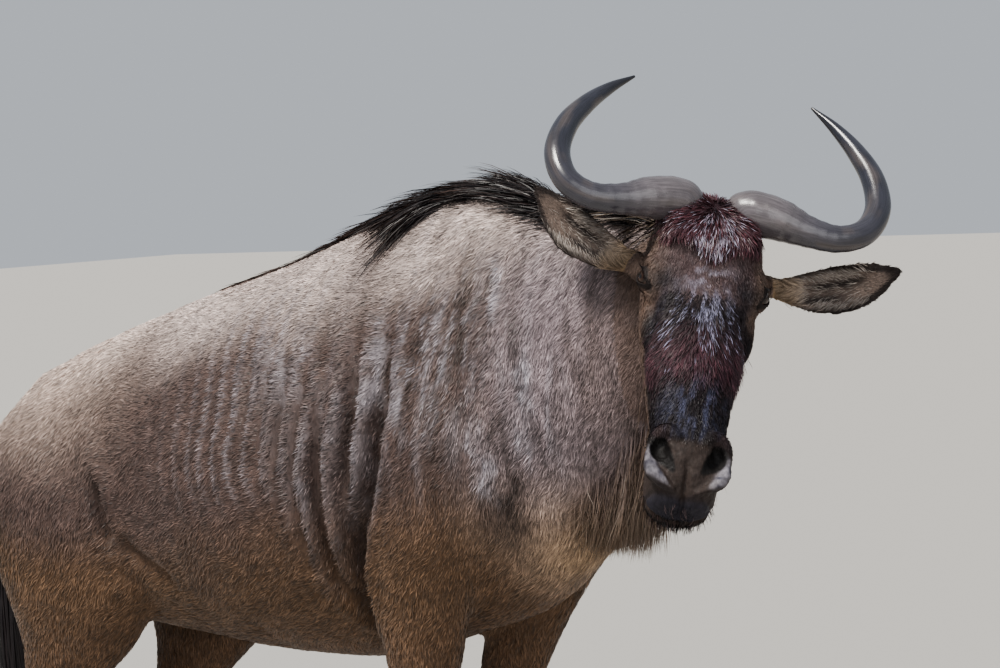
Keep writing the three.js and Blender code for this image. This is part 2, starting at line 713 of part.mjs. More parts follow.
// A place or a direction of the head's frame, in the body's
const headPoint = (point) => point.clone().applyMatrix4(headPose);
const headWay = (way) => way.clone().transformDirection(headPose);

// The thin cuts. Each crosses one limb, and is just wide enough for it.
function cuts() {
  const plates = [];
  plates.push(slab(V(140, -2, 930), V(1, -0.05, 0.32), 720));
  plates.push(slab(headPoint(V(-209, 0, -167)), headWay(V(0.82, 0, -0.57)), 290, 600, headWay(V(0, 1, 0))));
  for (const side of [1, -1]) {
    const root = faceSide(EAR_ROOT.out + 4, EAR_ROOT.down - 4, EAR_ROOT.forward - 1, side);
    plates.push(slab(headPoint(root), headWay(EAR_TIPS[side]), 86));
    plates.push(slab(V(-60, side * 140, 636), V(-0.22, side * -0.6, 1), 250));
    plates.push(slab(V(-730, side * 140, 624), V(0, side * -0.5, 1), 300, 440));
  }
  plates.push(slab(DOCK_ROOT.clone().add(V(-52, 0, -22)), V(-0.9, 0, -0.44), 90));
  for (const foot of Object.values(FEET)) {
    plates.push(slab(V(foot.toe - 4, (STANCE - 2) * foot.side, CORONET), V(0, 0, 1), 110));
  }
  return plates;
}

// A place inside each node of flesh, by which its piece is found
const LANDMARKS = {
  torso: V(-400, 0, 850),
  neck: V(260, -8, 1010),
  head: headPoint(V(-80, 0, -140)),
  ear_left: headPoint(faceSide(EAR_ROOT.out, EAR_ROOT.down, EAR_ROOT.forward, 1).addScaledVector(EAR_TIPS[1], 0.12)),
  ear_right: headPoint(faceSide(EAR_ROOT.out, EAR_ROOT.down, EAR_ROOT.forward, -1).addScaledVector(EAR_TIPS[-1], 0.12)),
  tail: V(-984, 5, 770),
};
for (const [name, foot] of Object.entries(FEET)) LANDMARKS["leg_" + name] = foot.loft.middle.getPoint(0.6);

function partedBody() {
  const pieces = cuts().reduce((rest, plate) => rest.subtract(plate), wholeBody()).decompose();
  const nodes = {};
  for (const [name, place] of Object.entries(LANDMARKS)) {
    const marker = ellipsoid(place, V(4, 4, 4), 6, 4);
    nodes[name] = pieces.find((piece) => piece.intersect(marker).volume() > 1);
    if (!nodes[name]) throw new Error("no piece of the body holds the place of " + name);
  }
  return nodes;
}

const COLOURS = {
  coat: { color: 0x6e6058, roughness: 0.8 },
  face: { color: 0x2a2322, roughness: 0.7 },
  horn: { color: 0x3f3d40, roughness: 0.4 },
  hoof: { color: 0x242122, roughness: 0.55 },
  eye: { color: 0x120c0a, roughness: 0.1 },
};
const FINISHES = Object.fromEntries(
  Object.entries(COLOURS).map(([name, look]) => [name, new THREE.MeshStandardMaterial({ ...look, metalness: 0 })]),
);

// Merging close vertices can pinch a speck off a solid, so the node keeps its largest surface
function addNode(group, name, solid, finish) {
  const whole = largest(toSolid(toGeometry(solid)));
  const mesh = new THREE.Mesh(toGeometry(whole), FINISHES[finish]);
  mesh.name = name;
  group.add(mesh);
}

function build() {
  const group = new THREE.Group();
  const flesh = partedBody();
  for (const [name, solid] of Object.entries(flesh)) addNode(group, name, solid, name === "head" ? "face" : "coat");
  addNode(group, "horn_left", posed(horn(1)), "horn");
  addNode(group, "horn_right", posed(horn(-1)), "horn");
  addNode(group, "eye_left", posed(eyeball(1)), "eye");
  addNode(group, "eye_right", posed(eyeball(-1)), "eye");
  for (const [name, foot] of Object.entries(FEET)) {
    addNode(group, "hoof_" + name + "_inner", hoof(foot, -foot.side * (HOOF_HALF_WIDTH + 1)), "hoof");
    addNode(group, "hoof_" + name + "_outer", hoof(foot, foot.side * (HOOF_HALF_WIDTH + 1)), "hoof");
  }
  return group;
}

const model = build();
const box = new THREE.Box3().setFromObject(model);
const middle = box.getCenter(new THREE.Vector3());
const MICRON = 1e-3;
const snapped = (value) => Math.round(value / MICRON) * MICRON;
model.position.set(snapped(-middle.x), snapped(-middle.y), snapped(-box.min.z));
export default model;
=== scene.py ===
"""A blue wildebeest that stands and looks round at the camera: its skin, coat, horns and light."""

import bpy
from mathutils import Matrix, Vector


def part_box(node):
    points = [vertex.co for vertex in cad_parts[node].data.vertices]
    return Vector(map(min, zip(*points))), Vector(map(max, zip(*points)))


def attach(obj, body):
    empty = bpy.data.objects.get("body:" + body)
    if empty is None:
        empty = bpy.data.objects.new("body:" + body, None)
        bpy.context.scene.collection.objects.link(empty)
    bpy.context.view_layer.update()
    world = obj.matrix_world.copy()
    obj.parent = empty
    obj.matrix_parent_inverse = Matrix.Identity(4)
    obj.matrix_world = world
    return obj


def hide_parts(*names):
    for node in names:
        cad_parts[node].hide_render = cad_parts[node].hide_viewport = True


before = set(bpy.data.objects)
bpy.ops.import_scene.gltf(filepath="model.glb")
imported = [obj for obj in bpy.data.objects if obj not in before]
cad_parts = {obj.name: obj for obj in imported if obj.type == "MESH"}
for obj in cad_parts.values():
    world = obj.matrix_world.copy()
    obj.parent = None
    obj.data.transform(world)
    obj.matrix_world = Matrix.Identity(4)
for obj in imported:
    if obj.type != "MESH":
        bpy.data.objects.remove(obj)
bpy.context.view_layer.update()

import itertools
import math

import bpy
import numpy as np
from mathutils import Matrix, Vector
from mathutils.bvhtree import BVHTree

bpy.ops.object.select_all(action="DESELECT")

# Sizes are in millimetres in the body's own frame: X forward, Y the animal's left, Z up, with
# X = Y = 0 under the hump. Meshes are put into the row's frame, in metres, when they are made.

MM = 0.001
WITHERS_HEIGHT = 1240
CROUP_HEIGHT = 1045
BELLY_HEIGHT = 572
BRISKET_HEIGHT = 640
RIB_HALF_WIDTH = 240
STANCE = 122
HEAD_LENGTH = 478
FOREHEAD_HALF_WIDTH = 84
MUZZLE_HALF_WIDTH = 53
POLL = np.array([480.0, -53.0, 1222.0])
HEAD_TURN = -42.2
HEAD_TILT = -13.1
HEAD_NOD = -32.0
HORN_REACH = 226
HORN_BASE_RADIUS = 31
EAR_LENGTH = 205
EYE_RADIUS = 19

# How far the skin lies under the solids' faces, which stand for the tips of the coat
TRUNK_COAT = 4.0
LEG_COAT = 2.0
FACE_COAT = 2.0


# Numbers


def unit(vectors):
    return vectors / np.maximum(np.linalg.norm(vectors, axis=-1, keepdims=True), 1e-9)


def dot(a, b):
    return np.sum(np.asarray(a) * np.asarray(b), axis=-1)


def ease(value, start, end):
    """0 before start and 1 after end, with a soft step between."""
    share = np.clip((np.asarray(value, float) - start) / (end - start), 0, 1)
    return share * share * (3 - 2 * share)


def band(value, start, full, fade, end):
    """1 between full and fade, and 0 before start and after end."""
    return ease(value, start, full) * (1 - ease(value, fade, end))


def bell(value, width):
    return np.exp(-((np.asarray(value) / width) ** 2))


def mix(a, b, share):
    share = np.asarray(share)
    if np.ndim(share) and (np.ndim(a) > 1 or np.ndim(b) > 1 or np.shape(a) == (3,)):
        share = share[..., None]
    return a * (1 - share) + b * share


def blobs(points, size, seed=0):
    """Soft noise from -1 to 1 with features about size across. size may differ per axis."""
    place = np.asarray(points, float) / np.asarray(size, float) + seed * 17.31
    cell = np.floor(place).astype(np.int64)
    share = place - cell
    share = share * share * (3 - 2 * share)
    total = np.zeros(len(place))
    for corner in itertools.product((0, 1), repeat=3):
        spot = cell + np.array(corner)
        mess = spot[:, 0] * 73856093 ^ spot[:, 1] * 19349663 ^ spot[:, 2] * 83492791
        mess = (mess ^ (mess >> 13)) * 1274126177 & 0xFFFFFFFF
        mess = (mess ^ (mess >> 16)) & 0xFFFF
        weight = np.prod(np.where(np.array(corner), share, 1 - share), axis=1)
        total += weight * (mess / 32767.5 - 1)
    return total


def flow(values, t):
    """A smooth curve through evenly spaced values, at shares t of its length."""
    values = np.asarray(values, float)
    if values.ndim == 1:
        values = values[:, None]
    last = len(values) - 1
    ends = np.vstack([2 * values[0] - values[1], values, 2 * values[-1] - values[-2]])
    place = np.clip(t, 0, 1) * last
    first = np.minimum(np.floor(place).astype(int), last - 1)
    s = (place - first)[:, None]
    before, here, onward, after = ends[first], ends[first + 1], ends[first + 2], ends[first + 3]
    leave = 0.5 * (onward - before)
    arrive = 0.5 * (after - here)
    start = (2 * s**3 - 3 * s**2 + 1) * here + (s**3 - 2 * s**2 + s) * leave
    return start + (-2 * s**3 + 3 * s**2) * onward + (s**3 - s**2) * arrive


def heading(values, t):
    step = 0.004
    return unit(flow(values, np.clip(t + step, 0, 1)) - flow(values, np.clip(t - step, 0, 1)))


def rounded(wave, power):
    return np.sign(wave) * np.abs(wave) ** (2 / power)


def capped(share, cap):
    """Where a ring lies: its share of the length, how far out on a round cap, and its size."""
    low = np.clip((cap - share) / cap, 0, 1) * np.pi / 2
    high = np.clip((share - 1 + cap) / cap, 0, 1) * np.pi / 2
    t = np.clip((share - cap) / (1 - 2 * cap), 0, 1)
    return t, np.sin(high) - np.sin(low), np.cos(low) * np.cos(high)


def turned_z(degrees):
    return np.array(Matrix.Rotation(math.radians(degrees), 3, "Z"))


HEAD_WAY = (
    turned_z(HEAD_TURN)
    @ np.array(Matrix.Rotation(math.radians(HEAD_TILT), 3, "X"))
    @ np.array(Matrix.Rotation(math.radians(HEAD_NOD), 3, "Y"))
)


def from_head(points):
    return np.asarray(points, float) @ HEAD_WAY.T + POLL


def way_from_head(vectors):
    return np.asarray(vectors, float) @ HEAD_WAY.T


def to_head(points):
    return (np.asarray(points, float) - POLL) @ HEAD_WAY


def way_to_head(vectors):
    return np.asarray(vectors, float) @ HEAD_WAY


def on_face(out, down, forward, side):
    """A point in the head's frame: its X faces out of the forehead, its Y to the animal's left."""
    return np.array([forward, out * side, -down], float)


def off_spot(head_points, out, down, forward, side):
    """How far points in the head's frame are from a spot on one side of the face."""
    return np.linalg.norm(head_points - on_face(out, down, forward, side), axis=1)


EYE_OUT = 75
EYE_DOWN = 125
EYE_FORWARD = -44
EYE_FORWARD_TURN = math.radians(22)


def eye_middle(side):
    return on_face(EYE_OUT, EYE_DOWN, EYE_FORWARD, side)


def gaze(side):
    return np.array([math.sin(EYE_FORWARD_TURN), side * math.cos(EYE_FORWARD_TURN), 0])


# The left eye's solid says where the body's frame lies in the row's frame
EYE_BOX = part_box("eye_left")
ROW_SHIFT = np.array((EYE_BOX[0] + EYE_BOX[1]) / 2) / MM - from_head(eye_middle(1))


EYE_INSET = 3.2


def seated_eye(side):
    """The eyeball's middle, a little deeper than the solid's, so that the lids close over it."""
    return eye_middle(side) - gaze(side) * EYE_INSET


# The camera stands where the photograph was taken from

CAMERA_AZIMUTH = math.radians(42.5)
CAMERA_DISTANCE = 12000
CAMERA_HEIGHT = 1500
CAMERA_PAN = math.radians(0.046157)
CAMERA_TILT = math.radians(-2.229892)
CAMERA_ROLL = math.radians(3.0)
CAMERA_LENS = 304.56


def place_camera():
    away = np.array([math.sin(CAMERA_AZIMUTH), -math.cos(CAMERA_AZIMUTH), 0])
    up = np.array([0.0, 0.0, 1.0])
    across = unit(np.cross(-away, up))
    level = -away * math.cos(CAMERA_PAN) + across * math.sin(CAMERA_PAN)
    ahead = level * math.cos(CAMERA_TILT) + up * math.sin(CAMERA_TILT)
    right = unit(np.cross(ahead, up))
    top = np.cross(right, ahead)
    rolled_right = right * math.cos(CAMERA_ROLL) - top * math.sin(CAMERA_ROLL)
    rolled_top = top * math.cos(CAMERA_ROLL) + right * math.sin(CAMERA_ROLL)
    bpy.ops.object.camera_add()
    camera = bpy.context.object
    camera.name = "field_camera"
    facing = Matrix(np.column_stack([rolled_right, rolled_top, -ahead]).tolist())
    spot = (away * CAMERA_DISTANCE + up * CAMERA_HEIGHT + ROW_SHIFT) * MM
    camera.matrix_world = Matrix.Translation(Vector(spot)) @ facing.to_4x4()
    camera.data.sensor_width = 36
    camera.data.sensor_fit = "HORIZONTAL"
    camera.data.lens = CAMERA_LENS
    camera.data.clip_end = 60
    bpy.context.scene.camera = camera


place_camera()


# Meshes


def read_rows(items, name):
    """An attribute that has three numbers for each item, as rows."""
    flat = np.empty(len(items) * 3, np.float32)
    items.foreach_get(name, flat)
    return flat.reshape(-1, 3).astype(float)


def read_points(mesh):
    return read_rows(mesh.vertices, "co") / MM - ROW_SHIFT


def write_points(mesh, points):
    flat = ((np.asarray(points) + ROW_SHIFT) * MM).astype(np.float32)
    mesh.vertices.foreach_set("co", flat.ravel())
    mesh.update()


def read_normals(mesh):
    return read_rows(mesh.vertex_normals, "vector")


def activate(piece):
    bpy.ops.object.select_all(action="DESELECT")
    piece.select_set(True)
    bpy.context.view_layer.objects.active = piece


def apply_modifier(piece, kind, **settings):
    activate(piece)
    modifier = piece.modifiers.new(kind.lower(), kind)
    for name, value in settings.items():
        setattr(modifier, name, value)
    bpy.ops.object.modifier_apply(modifier=modifier.name)


def form(name, place, around, along, cap=0.06):
    """A round form: a sphere whose rings are laid along a shape by place(t, out, size, angle)."""
    bpy.ops.mesh.primitive_uv_sphere_add(segments=around, ring_count=along, radius=1)
    piece = bpy.context.object
    piece.name = name
    ball = read_rows(piece.data.vertices, "co")
    share = 1 - np.arccos(np.clip(ball[:, 2], -1, 1)) / np.pi
    angle = np.arctan2(ball[:, 1], ball[:, 0])
    t, out, size = capped(share, cap)
    write_points(piece.data, place(t, out, size, angle))
    bpy.ops.object.mode_set(mode="EDIT")
    bpy.ops.mesh.select_all(action="SELECT")
    bpy.ops.mesh.normals_make_consistent(inside=False)
    bpy.ops.object.mode_set(mode="OBJECT")
    piece.select_set(False)
    return piece


def smooth(piece):
    activate(piece)
    bpy.ops.object.shade_smooth()


def join(name, pieces):
    bpy.ops.object.select_all(action="DESELECT")
    for piece in pieces:
        piece.select_set(True)
    bpy.context.view_layer.objects.active = pieces[0]
    bpy.ops.object.join()
    pieces[0].name = name
    pieces[0].data.name = name
    return pieces[0]


def relax(mesh, rounds, weights=1.0, swell=0.0):
    """Evens out a surface. With swell it keeps its volume better."""
    pairs = np.empty(len(mesh.edges) * 2, np.int32)
    mesh.edges.foreach_get("vertices", pairs)
    a, b = pairs.reshape(-1, 2).T
    count = len(mesh.vertices)
    links = np.bincount(a, minlength=count) + np.bincount(b, minlength=count)
    points = read_points(mesh)
    weights = np.broadcast_to(weights, (count,))[:, None]
    for step in range(rounds):
        around = np.empty_like(points)
        for axis in range(3):
            total = np.bincount(a, points[b, axis], count) + np.bincount(b, points[a, axis], count)
            around[:, axis] = total / np.maximum(links, 1)
        strength = 0.55 if swell == 0 or step % 2 == 0 else -swell
        points = points + (around - points) * weights * strength
    write_points(mesh, points)


# The shapes of the body, from the same stations as the solids


def tipped(way, turn, lift):
    """One direction turned by many angles, upwards and then round Z."""
    x = way[0] * np.cos(lift) - way[2] * np.sin(lift)
    z = way[0] * np.sin(lift) + way[2] * np.cos(lift)
    y = way[1] + 0 * turn
    turned_x = x * np.cos(turn) - y * np.sin(turn)
    turned_y = x * np.sin(turn) + y * np.cos(turn)
    return np.stack([turned_x, turned_y, z], 1)


class Limb:
    """A row of oval sections that other sizes flow through."""

    def __init__(self, rows, side, rise, caps):
        self.middle = np.array([row["at"] for row in rows], float)
        self.sizes = np.array([[row["w"], row["u"], row["v"]] for row in rows], float)
        self.powers = np.array([[row.get("pu", 2), row.get("pv", 2)] for row in rows], float)
        self.turns = np.array([[row.get("turn", 0), row.get("lift", 0)] for row in rows], float)
        self.side = np.array(side, float)
        self.rise = np.array(rise, float)
        self.caps = caps

    def at(self, t, out, size, angle, grow=0.0):
        sizes = flow(self.sizes, t)
        powers = flow(self.powers, t)
        turns = np.radians(flow(self.turns, t))
        turn = turns[:, 0]
        lift = turns[:, 1]
        side = tipped(self.side, turn, lift)
        rise = tipped(self.rise, turn, lift)
        up = np.sin(angle) > 0
        power = np.where(up, powers[:, 0], powers[:, 1])
        reach = np.where(up, sizes[:, 1], sizes[:, 2]) + grow
        caps = np.where(out < 0, self.caps[0], self.caps[1]) + grow
        point = flow(self.middle, t)
        point = point + side * ((sizes[:, 0] + grow) * size * rounded(np.cos(angle), power))[:, None]
        point = point + rise * (reach * size * rounded(np.sin(angle), power))[:, None]
        return point + heading(self.middle, t) * (out * caps)[:, None]

    def form(self, name, around, along, grow=0.0, cap=0.06, moved=lambda points: points):
        def place(t, out, size, angle):
            return moved(self.at(t, out, size, angle, grow))

        return form(name, place, around, along, cap)

    def share_at(self, axis, value):
        t = np.linspace(0, 1, 401)
        middle = flow(self.middle, t)[:, axis]
        return t[np.argmin(np.abs(middle[:, None] - np.atleast_1d(value)[None, :]), axis=0)]


def trunk_row(x, top, wide, bottom, w, pu, pv):
    return {"at": (x, 0, wide), "w": w, "u": top - wide, "v": wide - bottom, "pu": pu, "pv": pv}


TRUNK = Limb(
    [
        trunk_row(-895, CROUP_HEIGHT - 85, 865, 740, 108, 2.0, 2.0),
        trunk_row(-810, CROUP_HEIGHT - 27, 862, 680, 165, 1.9, 2.1),
        trunk_row(-690, CROUP_HEIGHT + 13, 862, 622, 196, 1.8, 2.2),
        trunk_row(-530, CROUP_HEIGHT + 60, 842, BELLY_HEIGHT + 26, RIB_HALF_WIDTH - 28, 1.8, 2.3),
        trunk_row(-365, CROUP_HEIGHT + 102, 828, BELLY_HEIGHT + 6, RIB_HALF_WIDTH - 2, 1.75, 2.3),
        trunk_row(-205, CROUP_HEIGHT + 152, 835, BELLY_HEIGHT, RIB_HALF_WIDTH, 1.65, 2.2),
        trunk_row(-70, WITHERS_HEIGHT - 6, 858, BELLY_HEIGHT + 30, RIB_HALF_WIDTH - 26, 1.55, 2.1),
        trunk_row(60, WITHERS_HEIGHT, 890, BRISKET_HEIGHT - 4, 182, 1.6, 2.0),
        trunk_row(165, WITHERS_HEIGHT - 28, 925, BRISKET_HEIGHT + 66, 134, 1.7, 2.0),
    ],
    (0, 1, 0),
    (0, 0, 1),
    (45, 58),
)

NECK = Limb(
    [
        {"at": (20, 0, 930), "w": 168, "u": 290, "v": 255, "pu": 1.7},
        {"at": (150, 0, 965), "w": 142, "u": 252, "v": 222, "pu": 1.7, "turn": -4, "lift": 6},
        {"at": (255, -8, 1010), "w": 116, "u": 206, "v": 176, "pu": 1.8, "turn": -12, "lift": 14},
        {"at": (345, -22, 1062), "w": 98, "u": 156, "v": 140, "pu": 1.9, "turn": -22, "lift": 20},
        {"at": (408, -36, 1104), "w": 84, "u": 104, "v": 100, "turn": -32, "lift": 24},
    ],
    (0, 1, 0),
    (0, 0, 1),
    (40, 30),
)


def head_row(down, face, jaw, w, pu, pv, wide=0.45):
    middle = jaw + (face - jaw) * wide
    return {"at": (middle, 0, -down), "w": w, "u": face - middle, "v": middle - jaw, "pu": pu, "pv": pv}


HEAD = Limb(
    [
        head_row(2, -14, -110, 58, 2.4, 2.2),
        head_row(48, 5, -165, FOREHEAD_HALF_WIDTH - 6, 2.7, 2.2, 0.6),
        head_row(100, 6, -200, FOREHEAD_HALF_WIDTH - 2, 2.8, 2.1, 0.66),
        head_row(150, 3, -208, FOREHEAD_HALF_WIDTH - 7, 2.6, 2.1, 0.62),
        head_row(208, 1, -190, FOREHEAD_HALF_WIDTH - 16, 2.4, 2.2, 0.58),
        head_row(268, -2, -160, FOREHEAD_HALF_WIDTH - 23, 2.4, 2.2, 0.55),
        head_row(325, -6, -136, MUZZLE_HALF_WIDTH + 2, 2.5, 2.3, 0.52),
        head_row(378, -8, -122, MUZZLE_HALF_WIDTH - 4, 2.8, 2.5, 0.5),
        head_row(422, -16, -120, MUZZLE_HALF_WIDTH - 3, 3.0, 2.7, 0.46),
        head_row(HEAD_LENGTH - 24, -34, -116, MUZZLE_HALF_WIDTH - 8, 2.8, 2.6, 0.42),
    ],
    (0, 1, 0),
    (1, 0, 0),
    (22, 22),
)


def leg_row(x, y, z, front, back, w, side):
    return {"at": (x, y * side, z), "w": w, "u": front, "v": back}


def fore_leg(side, swing):
    rows = [
        leg_row(10, 94, 1050, 62, 72, 50, side),
        leg_row(25, 122, 915, 112, 108, 82, side),
        leg_row(5, 138, 775, 105, 105, 78, side),
        leg_row(-35 + swing * 0.2, 134, 672, 78, 88, 60, side),
        leg_row(-62 + swing * 0.5, STANCE + 4, 570, 58, 58, 48, side),
        leg_row(-84 + swing * 0.8, STANCE, 450, 38, 38, 35, side),
        leg_row(-90 + swing, STANCE - 2, 372, 38, 33, 34, side),
        leg_row(-93 + swing, STANCE - 4, 318, 28, 28, 27, side),
        leg_row(-96 + swing, STANCE - 4, 215, 20, 22, 19, side),
        leg_row(-98 + swing, STANCE - 2, 130, 27, 31, 27, side),
        leg_row(-86 + swing, STANCE - 2, 88, 24, 24, 25, side),
        leg_row(-74 + swing, STANCE - 2, 55, 34, 36, 34, side),
    ]
    return Limb(rows, (0, 1, 0), (1, 0, 0), (30, 4))


def hind_leg(side, swing):
    rows = [
        leg_row(-735, 78, 985, 96, 96, 55, side),
        leg_row(-758, 116, 880, 145, 152, 82, side),
        leg_row(-745, 136, 765, 172, 158, 82, side),
        leg_row(-738, 138, 672, 170, 120, 68, side),
        leg_row(-750 + swing * 0.3, STANCE + 8, 596, 124, 90, 54, side),
        leg_row(-785 + swing * 0.5, STANCE + 3, 532, 72, 64, 43, side),
        leg_row(-824 + swing * 0.7, STANCE, 474, 46, 47, 36, side),
        leg_row(-862 + swing * 0.9, STANCE - 2, 412, 40, 42, 31, side),
        leg_row(-868 + swing, STANCE - 4, 352, 32, 30, 27, side),
        leg_row(-858 + swing, STANCE - 4, 240, 22, 23, 21, side),
        leg_row(-850 + swing, STANCE - 2, 132, 27, 31, 27, side),
        leg_row(-836 + swing, STANCE - 2, 88, 24, 24, 25, side),
        leg_row(-824 + swing, STANCE - 2, 55, 34, 36, 34, side),
    ]
    return Limb(rows, (0, 1, 0), (1, 0, 0), (30, 4))


# X of the feet before they swing, and how far each foot is swung forward
FORE_FOOT = -74
HIND_FOOT = -824
SWINGS = {"front_left": -72, "front_right": 26, "hind_left": 52, "hind_right": -4}
LEGS = {}
for leg_name, leg_swing in SWINGS.items():
    leg_side = 1 if "left" in leg_name else -1
    build_leg, foot = (fore_leg, FORE_FOOT) if "front" in leg_name else (hind_leg, HIND_FOOT)
    LEGS[leg_name] = (build_leg(leg_side, leg_swing), leg_side, foot + leg_swing)


def tube(
    name, points, radii, around, along, grow=0.0, flat=1.0, squash=(0, 0, 1), moved=None, cap=0.05
):
    points = np.asarray(points, float)

    def place(t, out, size, angle):
        onward = heading(points, t)
        thin = np.array(squash, float) - dot(squash, onward)[:, None] * onward
        thin = unit(thin)
        wide = np.cross(onward, thin)
        radius = (flow(radii, t)[:, 0] + grow) * size
        spot = flow(points, t) + wide * (radius * np.cos(angle))[:, None]
        spot = spot + thin * (radius * flat * np.sin(angle))[:, None]
        spot = spot + onward * (out * (flow(radii, t)[:, 0] + grow) * 0.7)[:, None]
        return spot if moved is None else moved(spot)

    return form(name, place, around, along, cap)


def ball(name, at, radii, around=32, along=20, moved=None):
    def place(t, out, size, angle):
        low = np.pi * (1 - t)
        spot = np.stack([np.sin(low) * np.cos(angle), np.sin(low) * np.sin(angle), np.cos(low)], 1)
        spot = spot * np.array(radii, float) + np.array(at, float)
        return spot if moved is None else moved(spot)

    return form(name, place, around, along, 1e-6)


DOCK_PATH = [(-905, 0, 925), (-952, 0, 905), (-978, 2, 850), (-984, 5, 770), (-980, 6, 620)]
DOCK_RADII = [26, 25, 20, 17, 11]


def build_body():
    """Trunk, neck, legs and tail as one closed skin."""
    parts = [
        TRUNK.form("trunk", 96, 120, -TRUNK_COAT),
        NECK.form("neck", 80, 60, -TRUNK_COAT),
        tube("dock", DOCK_PATH, DOCK_RADII, 24, 40, -2),
    ]
    for name, (limb, side, toe) in LEGS.items():
        parts.append(limb.form(name, 48, 110, -LEG_COAT, 0.03))
        for across in (-15, 15):
            spot = (toe - 46, (STANCE - 2) * side + across, 112)
            parts.append(ball("dewclaw", spot, (11, 8, 17), 12, 8))
    body = join("skin", parts)
    apply_modifier(body, "REMESH", mode="VOXEL", voxel_size=7.2 * MM)
    heights = read_points(body.data)[:, 2]
    relax(body.data, 16, mix(0.35, 1.0, ease(heights, 520, 760)))
    return body


# The head's forms, in its own frame

EAR_ROOT = (90, 85, -76)
EAR_TIPS = {1: (12, 180, 54), -1: (-32, -140, 110)}
EAR_HALF_WIDTH = 37
EAR_CUP = 24
EAR_BEND = 17


def ear_ways(side):
    """The ear's root, the way to its tip, the way its leaf is wide and the way it opens."""
    root = on_face(*EAR_ROOT, side)
    onward = unit(np.array(EAR_TIPS[side], float))
    opening = np.array([0.9, 0.25 * side, -0.35])
    opening = unit(opening - dot(opening, onward) * onward)
    return root, onward, unit(np.cross(onward, opening)), opening


def leaf_width(t):
    return EAR_HALF_WIDTH * np.sin(np.pi * (0.1 + 0.875 * t) ** 1.35) ** 0.75


def ear_leaf(side):
    root, onward, across, opening = ear_ways(side)

    def place(t, out, size, angle):
        width = leaf_width(t) * size
        wave = np.cos(angle)
        offset = width * wave / EAR_HALF_WIDTH
        cup = EAR_CUP * (1 - offset**2) * np.sin(np.pi * (0.1 + 0.8 * t))
        wall = size * (6.5 - 3.4 * t) * np.sin(angle)
        # Two soft ribs run along the inside of the cup
        rib = 2.6 * (bell(offset - 0.3, 0.16) + bell(offset + 0.25, 0.16)) * ease(t, 0.05, 0.3)
        rib = rib * (1 - ease(t, 0.55, 0.85)) * (np.sin(angle) > 0) * np.sin(angle) * size
        spot = root + onward * (t * EAR_LENGTH + out * 3 - 12)[:, None]
        spot = spot + across * (width * wave + side * EAR_BEND * np.sin(np.pi * t))[:, None]
        return from_head(spot + opening * (-cup + wall + rib + 8)[:, None])

    return form("ear", place, 64, 80, 0.04)


def ear_stem(side):
    root, onward, _, opening = ear_ways(side)
    points = [root - onward * 24, root, root + onward * 24 - opening * 14]
    return tube("ear_stem", points, [21, 19, 9], 24, 16, -1.5, 0.8, opening, from_head)


def nostril_hole(side):
    spots = [(37, 388, -25), (41, 399, -20), (37, 411, -13), (27, 424, -13), (18, 438, -15)]
    points = [on_face(*spot, side) for spot in spots]
    return tube("nostril", points, [7, 13, 14, 9, 6], 24, 24, 0, 1.25, (1, 0, 0), from_head)


def nostril_wing(side):
    spots = [
        (20, 384, -12),
        (36, 372, -14),
        (50, 382, -30),
        (53, 402, -33),
        (51, 425, -32),
        (40, 442, -29),
        (20, 454, -34),
    ]
    points = [on_face(*spot, side) for spot in spots]
    return tube("wing", points, [6, 8, 8, 8, 10, 10, 6], 24, 48, 0, 1.0, (0, 0, 1), from_head)


def build_head():
    parts = [HEAD.form("head", 96, 110, -FACE_COAT, 0.05, from_head)]
    for side in (1, -1):
        brow = on_face(EYE_OUT - 18, EYE_DOWN - 6, EYE_FORWARD + 3, side)
        cheek = on_face(EYE_OUT - 17, EYE_DOWN + 46, EYE_FORWARD - 14, side)
        parts.append(ball("brow", brow, (30, 30, 50), moved=from_head))
        parts.append(ball("cheek", cheek, (20, 20, 58), moved=from_head))
        parts.append(nostril_wing(side))
        parts.append(ear_stem(side))
        parts.append(ear_leaf(side))
    head = join("head_skin", parts)
    apply_modifier(head, "REMESH", mode="VOXEL", voxel_size=2.6 * MM)
    relax(head.data, 3)
    for side in (1, -1):
        hole = nostril_hole(side)
        apply_modifier(head, "BOOLEAN", operation="DIFFERENCE", solver="MANIFOLD", object=hole)
        bpy.data.objects.remove(hole)
    apply_modifier(head, "REMESH", mode="VOXEL", voxel_size=2.7 * MM)
    relax(head.data, 10, 1.0, 0.5)
    return head


def refine(piece, middles, reach):
    """Splits the faces near some points, where the skin has its finest forms."""
    activate(piece)
    points = read_points(piece.data)
    near = np.zeros(len(points), bool)
    for middle in middles:
        near |= np.linalg.norm(points - from_head(middle), axis=1) < reach
    piece.data.polygons.foreach_set("select", np.zeros(len(piece.data.polygons), bool))
    piece.data.edges.foreach_set("select", np.zeros(len(piece.data.edges), bool))
    piece.data.vertices.foreach_set("select", near)
    bpy.ops.object.mode_set(mode="EDIT")
    bpy.ops.mesh.select_mode(type="VERT")
    bpy.ops.mesh.select_mode(type="FACE")
    bpy.ops.mesh.subdivide(number_cuts=1, smoothness=0)
    bpy.ops.object.mode_set(mode="OBJECT")


LIDS_LONG = 16.0
LIDS_HIGH = 9.0
LID_THICKNESS = 2.6


def eye_ways(side):
    """The way that the eye looks, and the long and the short way of its opening."""
    out = gaze(side)
    along = unit(np.array([0.45, 0, -0.9]))
    along = unit(along - dot(along, out) * out)
    return out, along, np.cross(out, along)


def opening_ring(long, tall):
    """How far places are from the middle of the eye's opening, where its edge is at 1."""
    taper = 1 - 0.3 * ease(np.abs(long), 4, LIDS_LONG)
    return np.sqrt((long / LIDS_LONG) ** 2 + (tall / (LIDS_HIGH * taper)) ** 2)


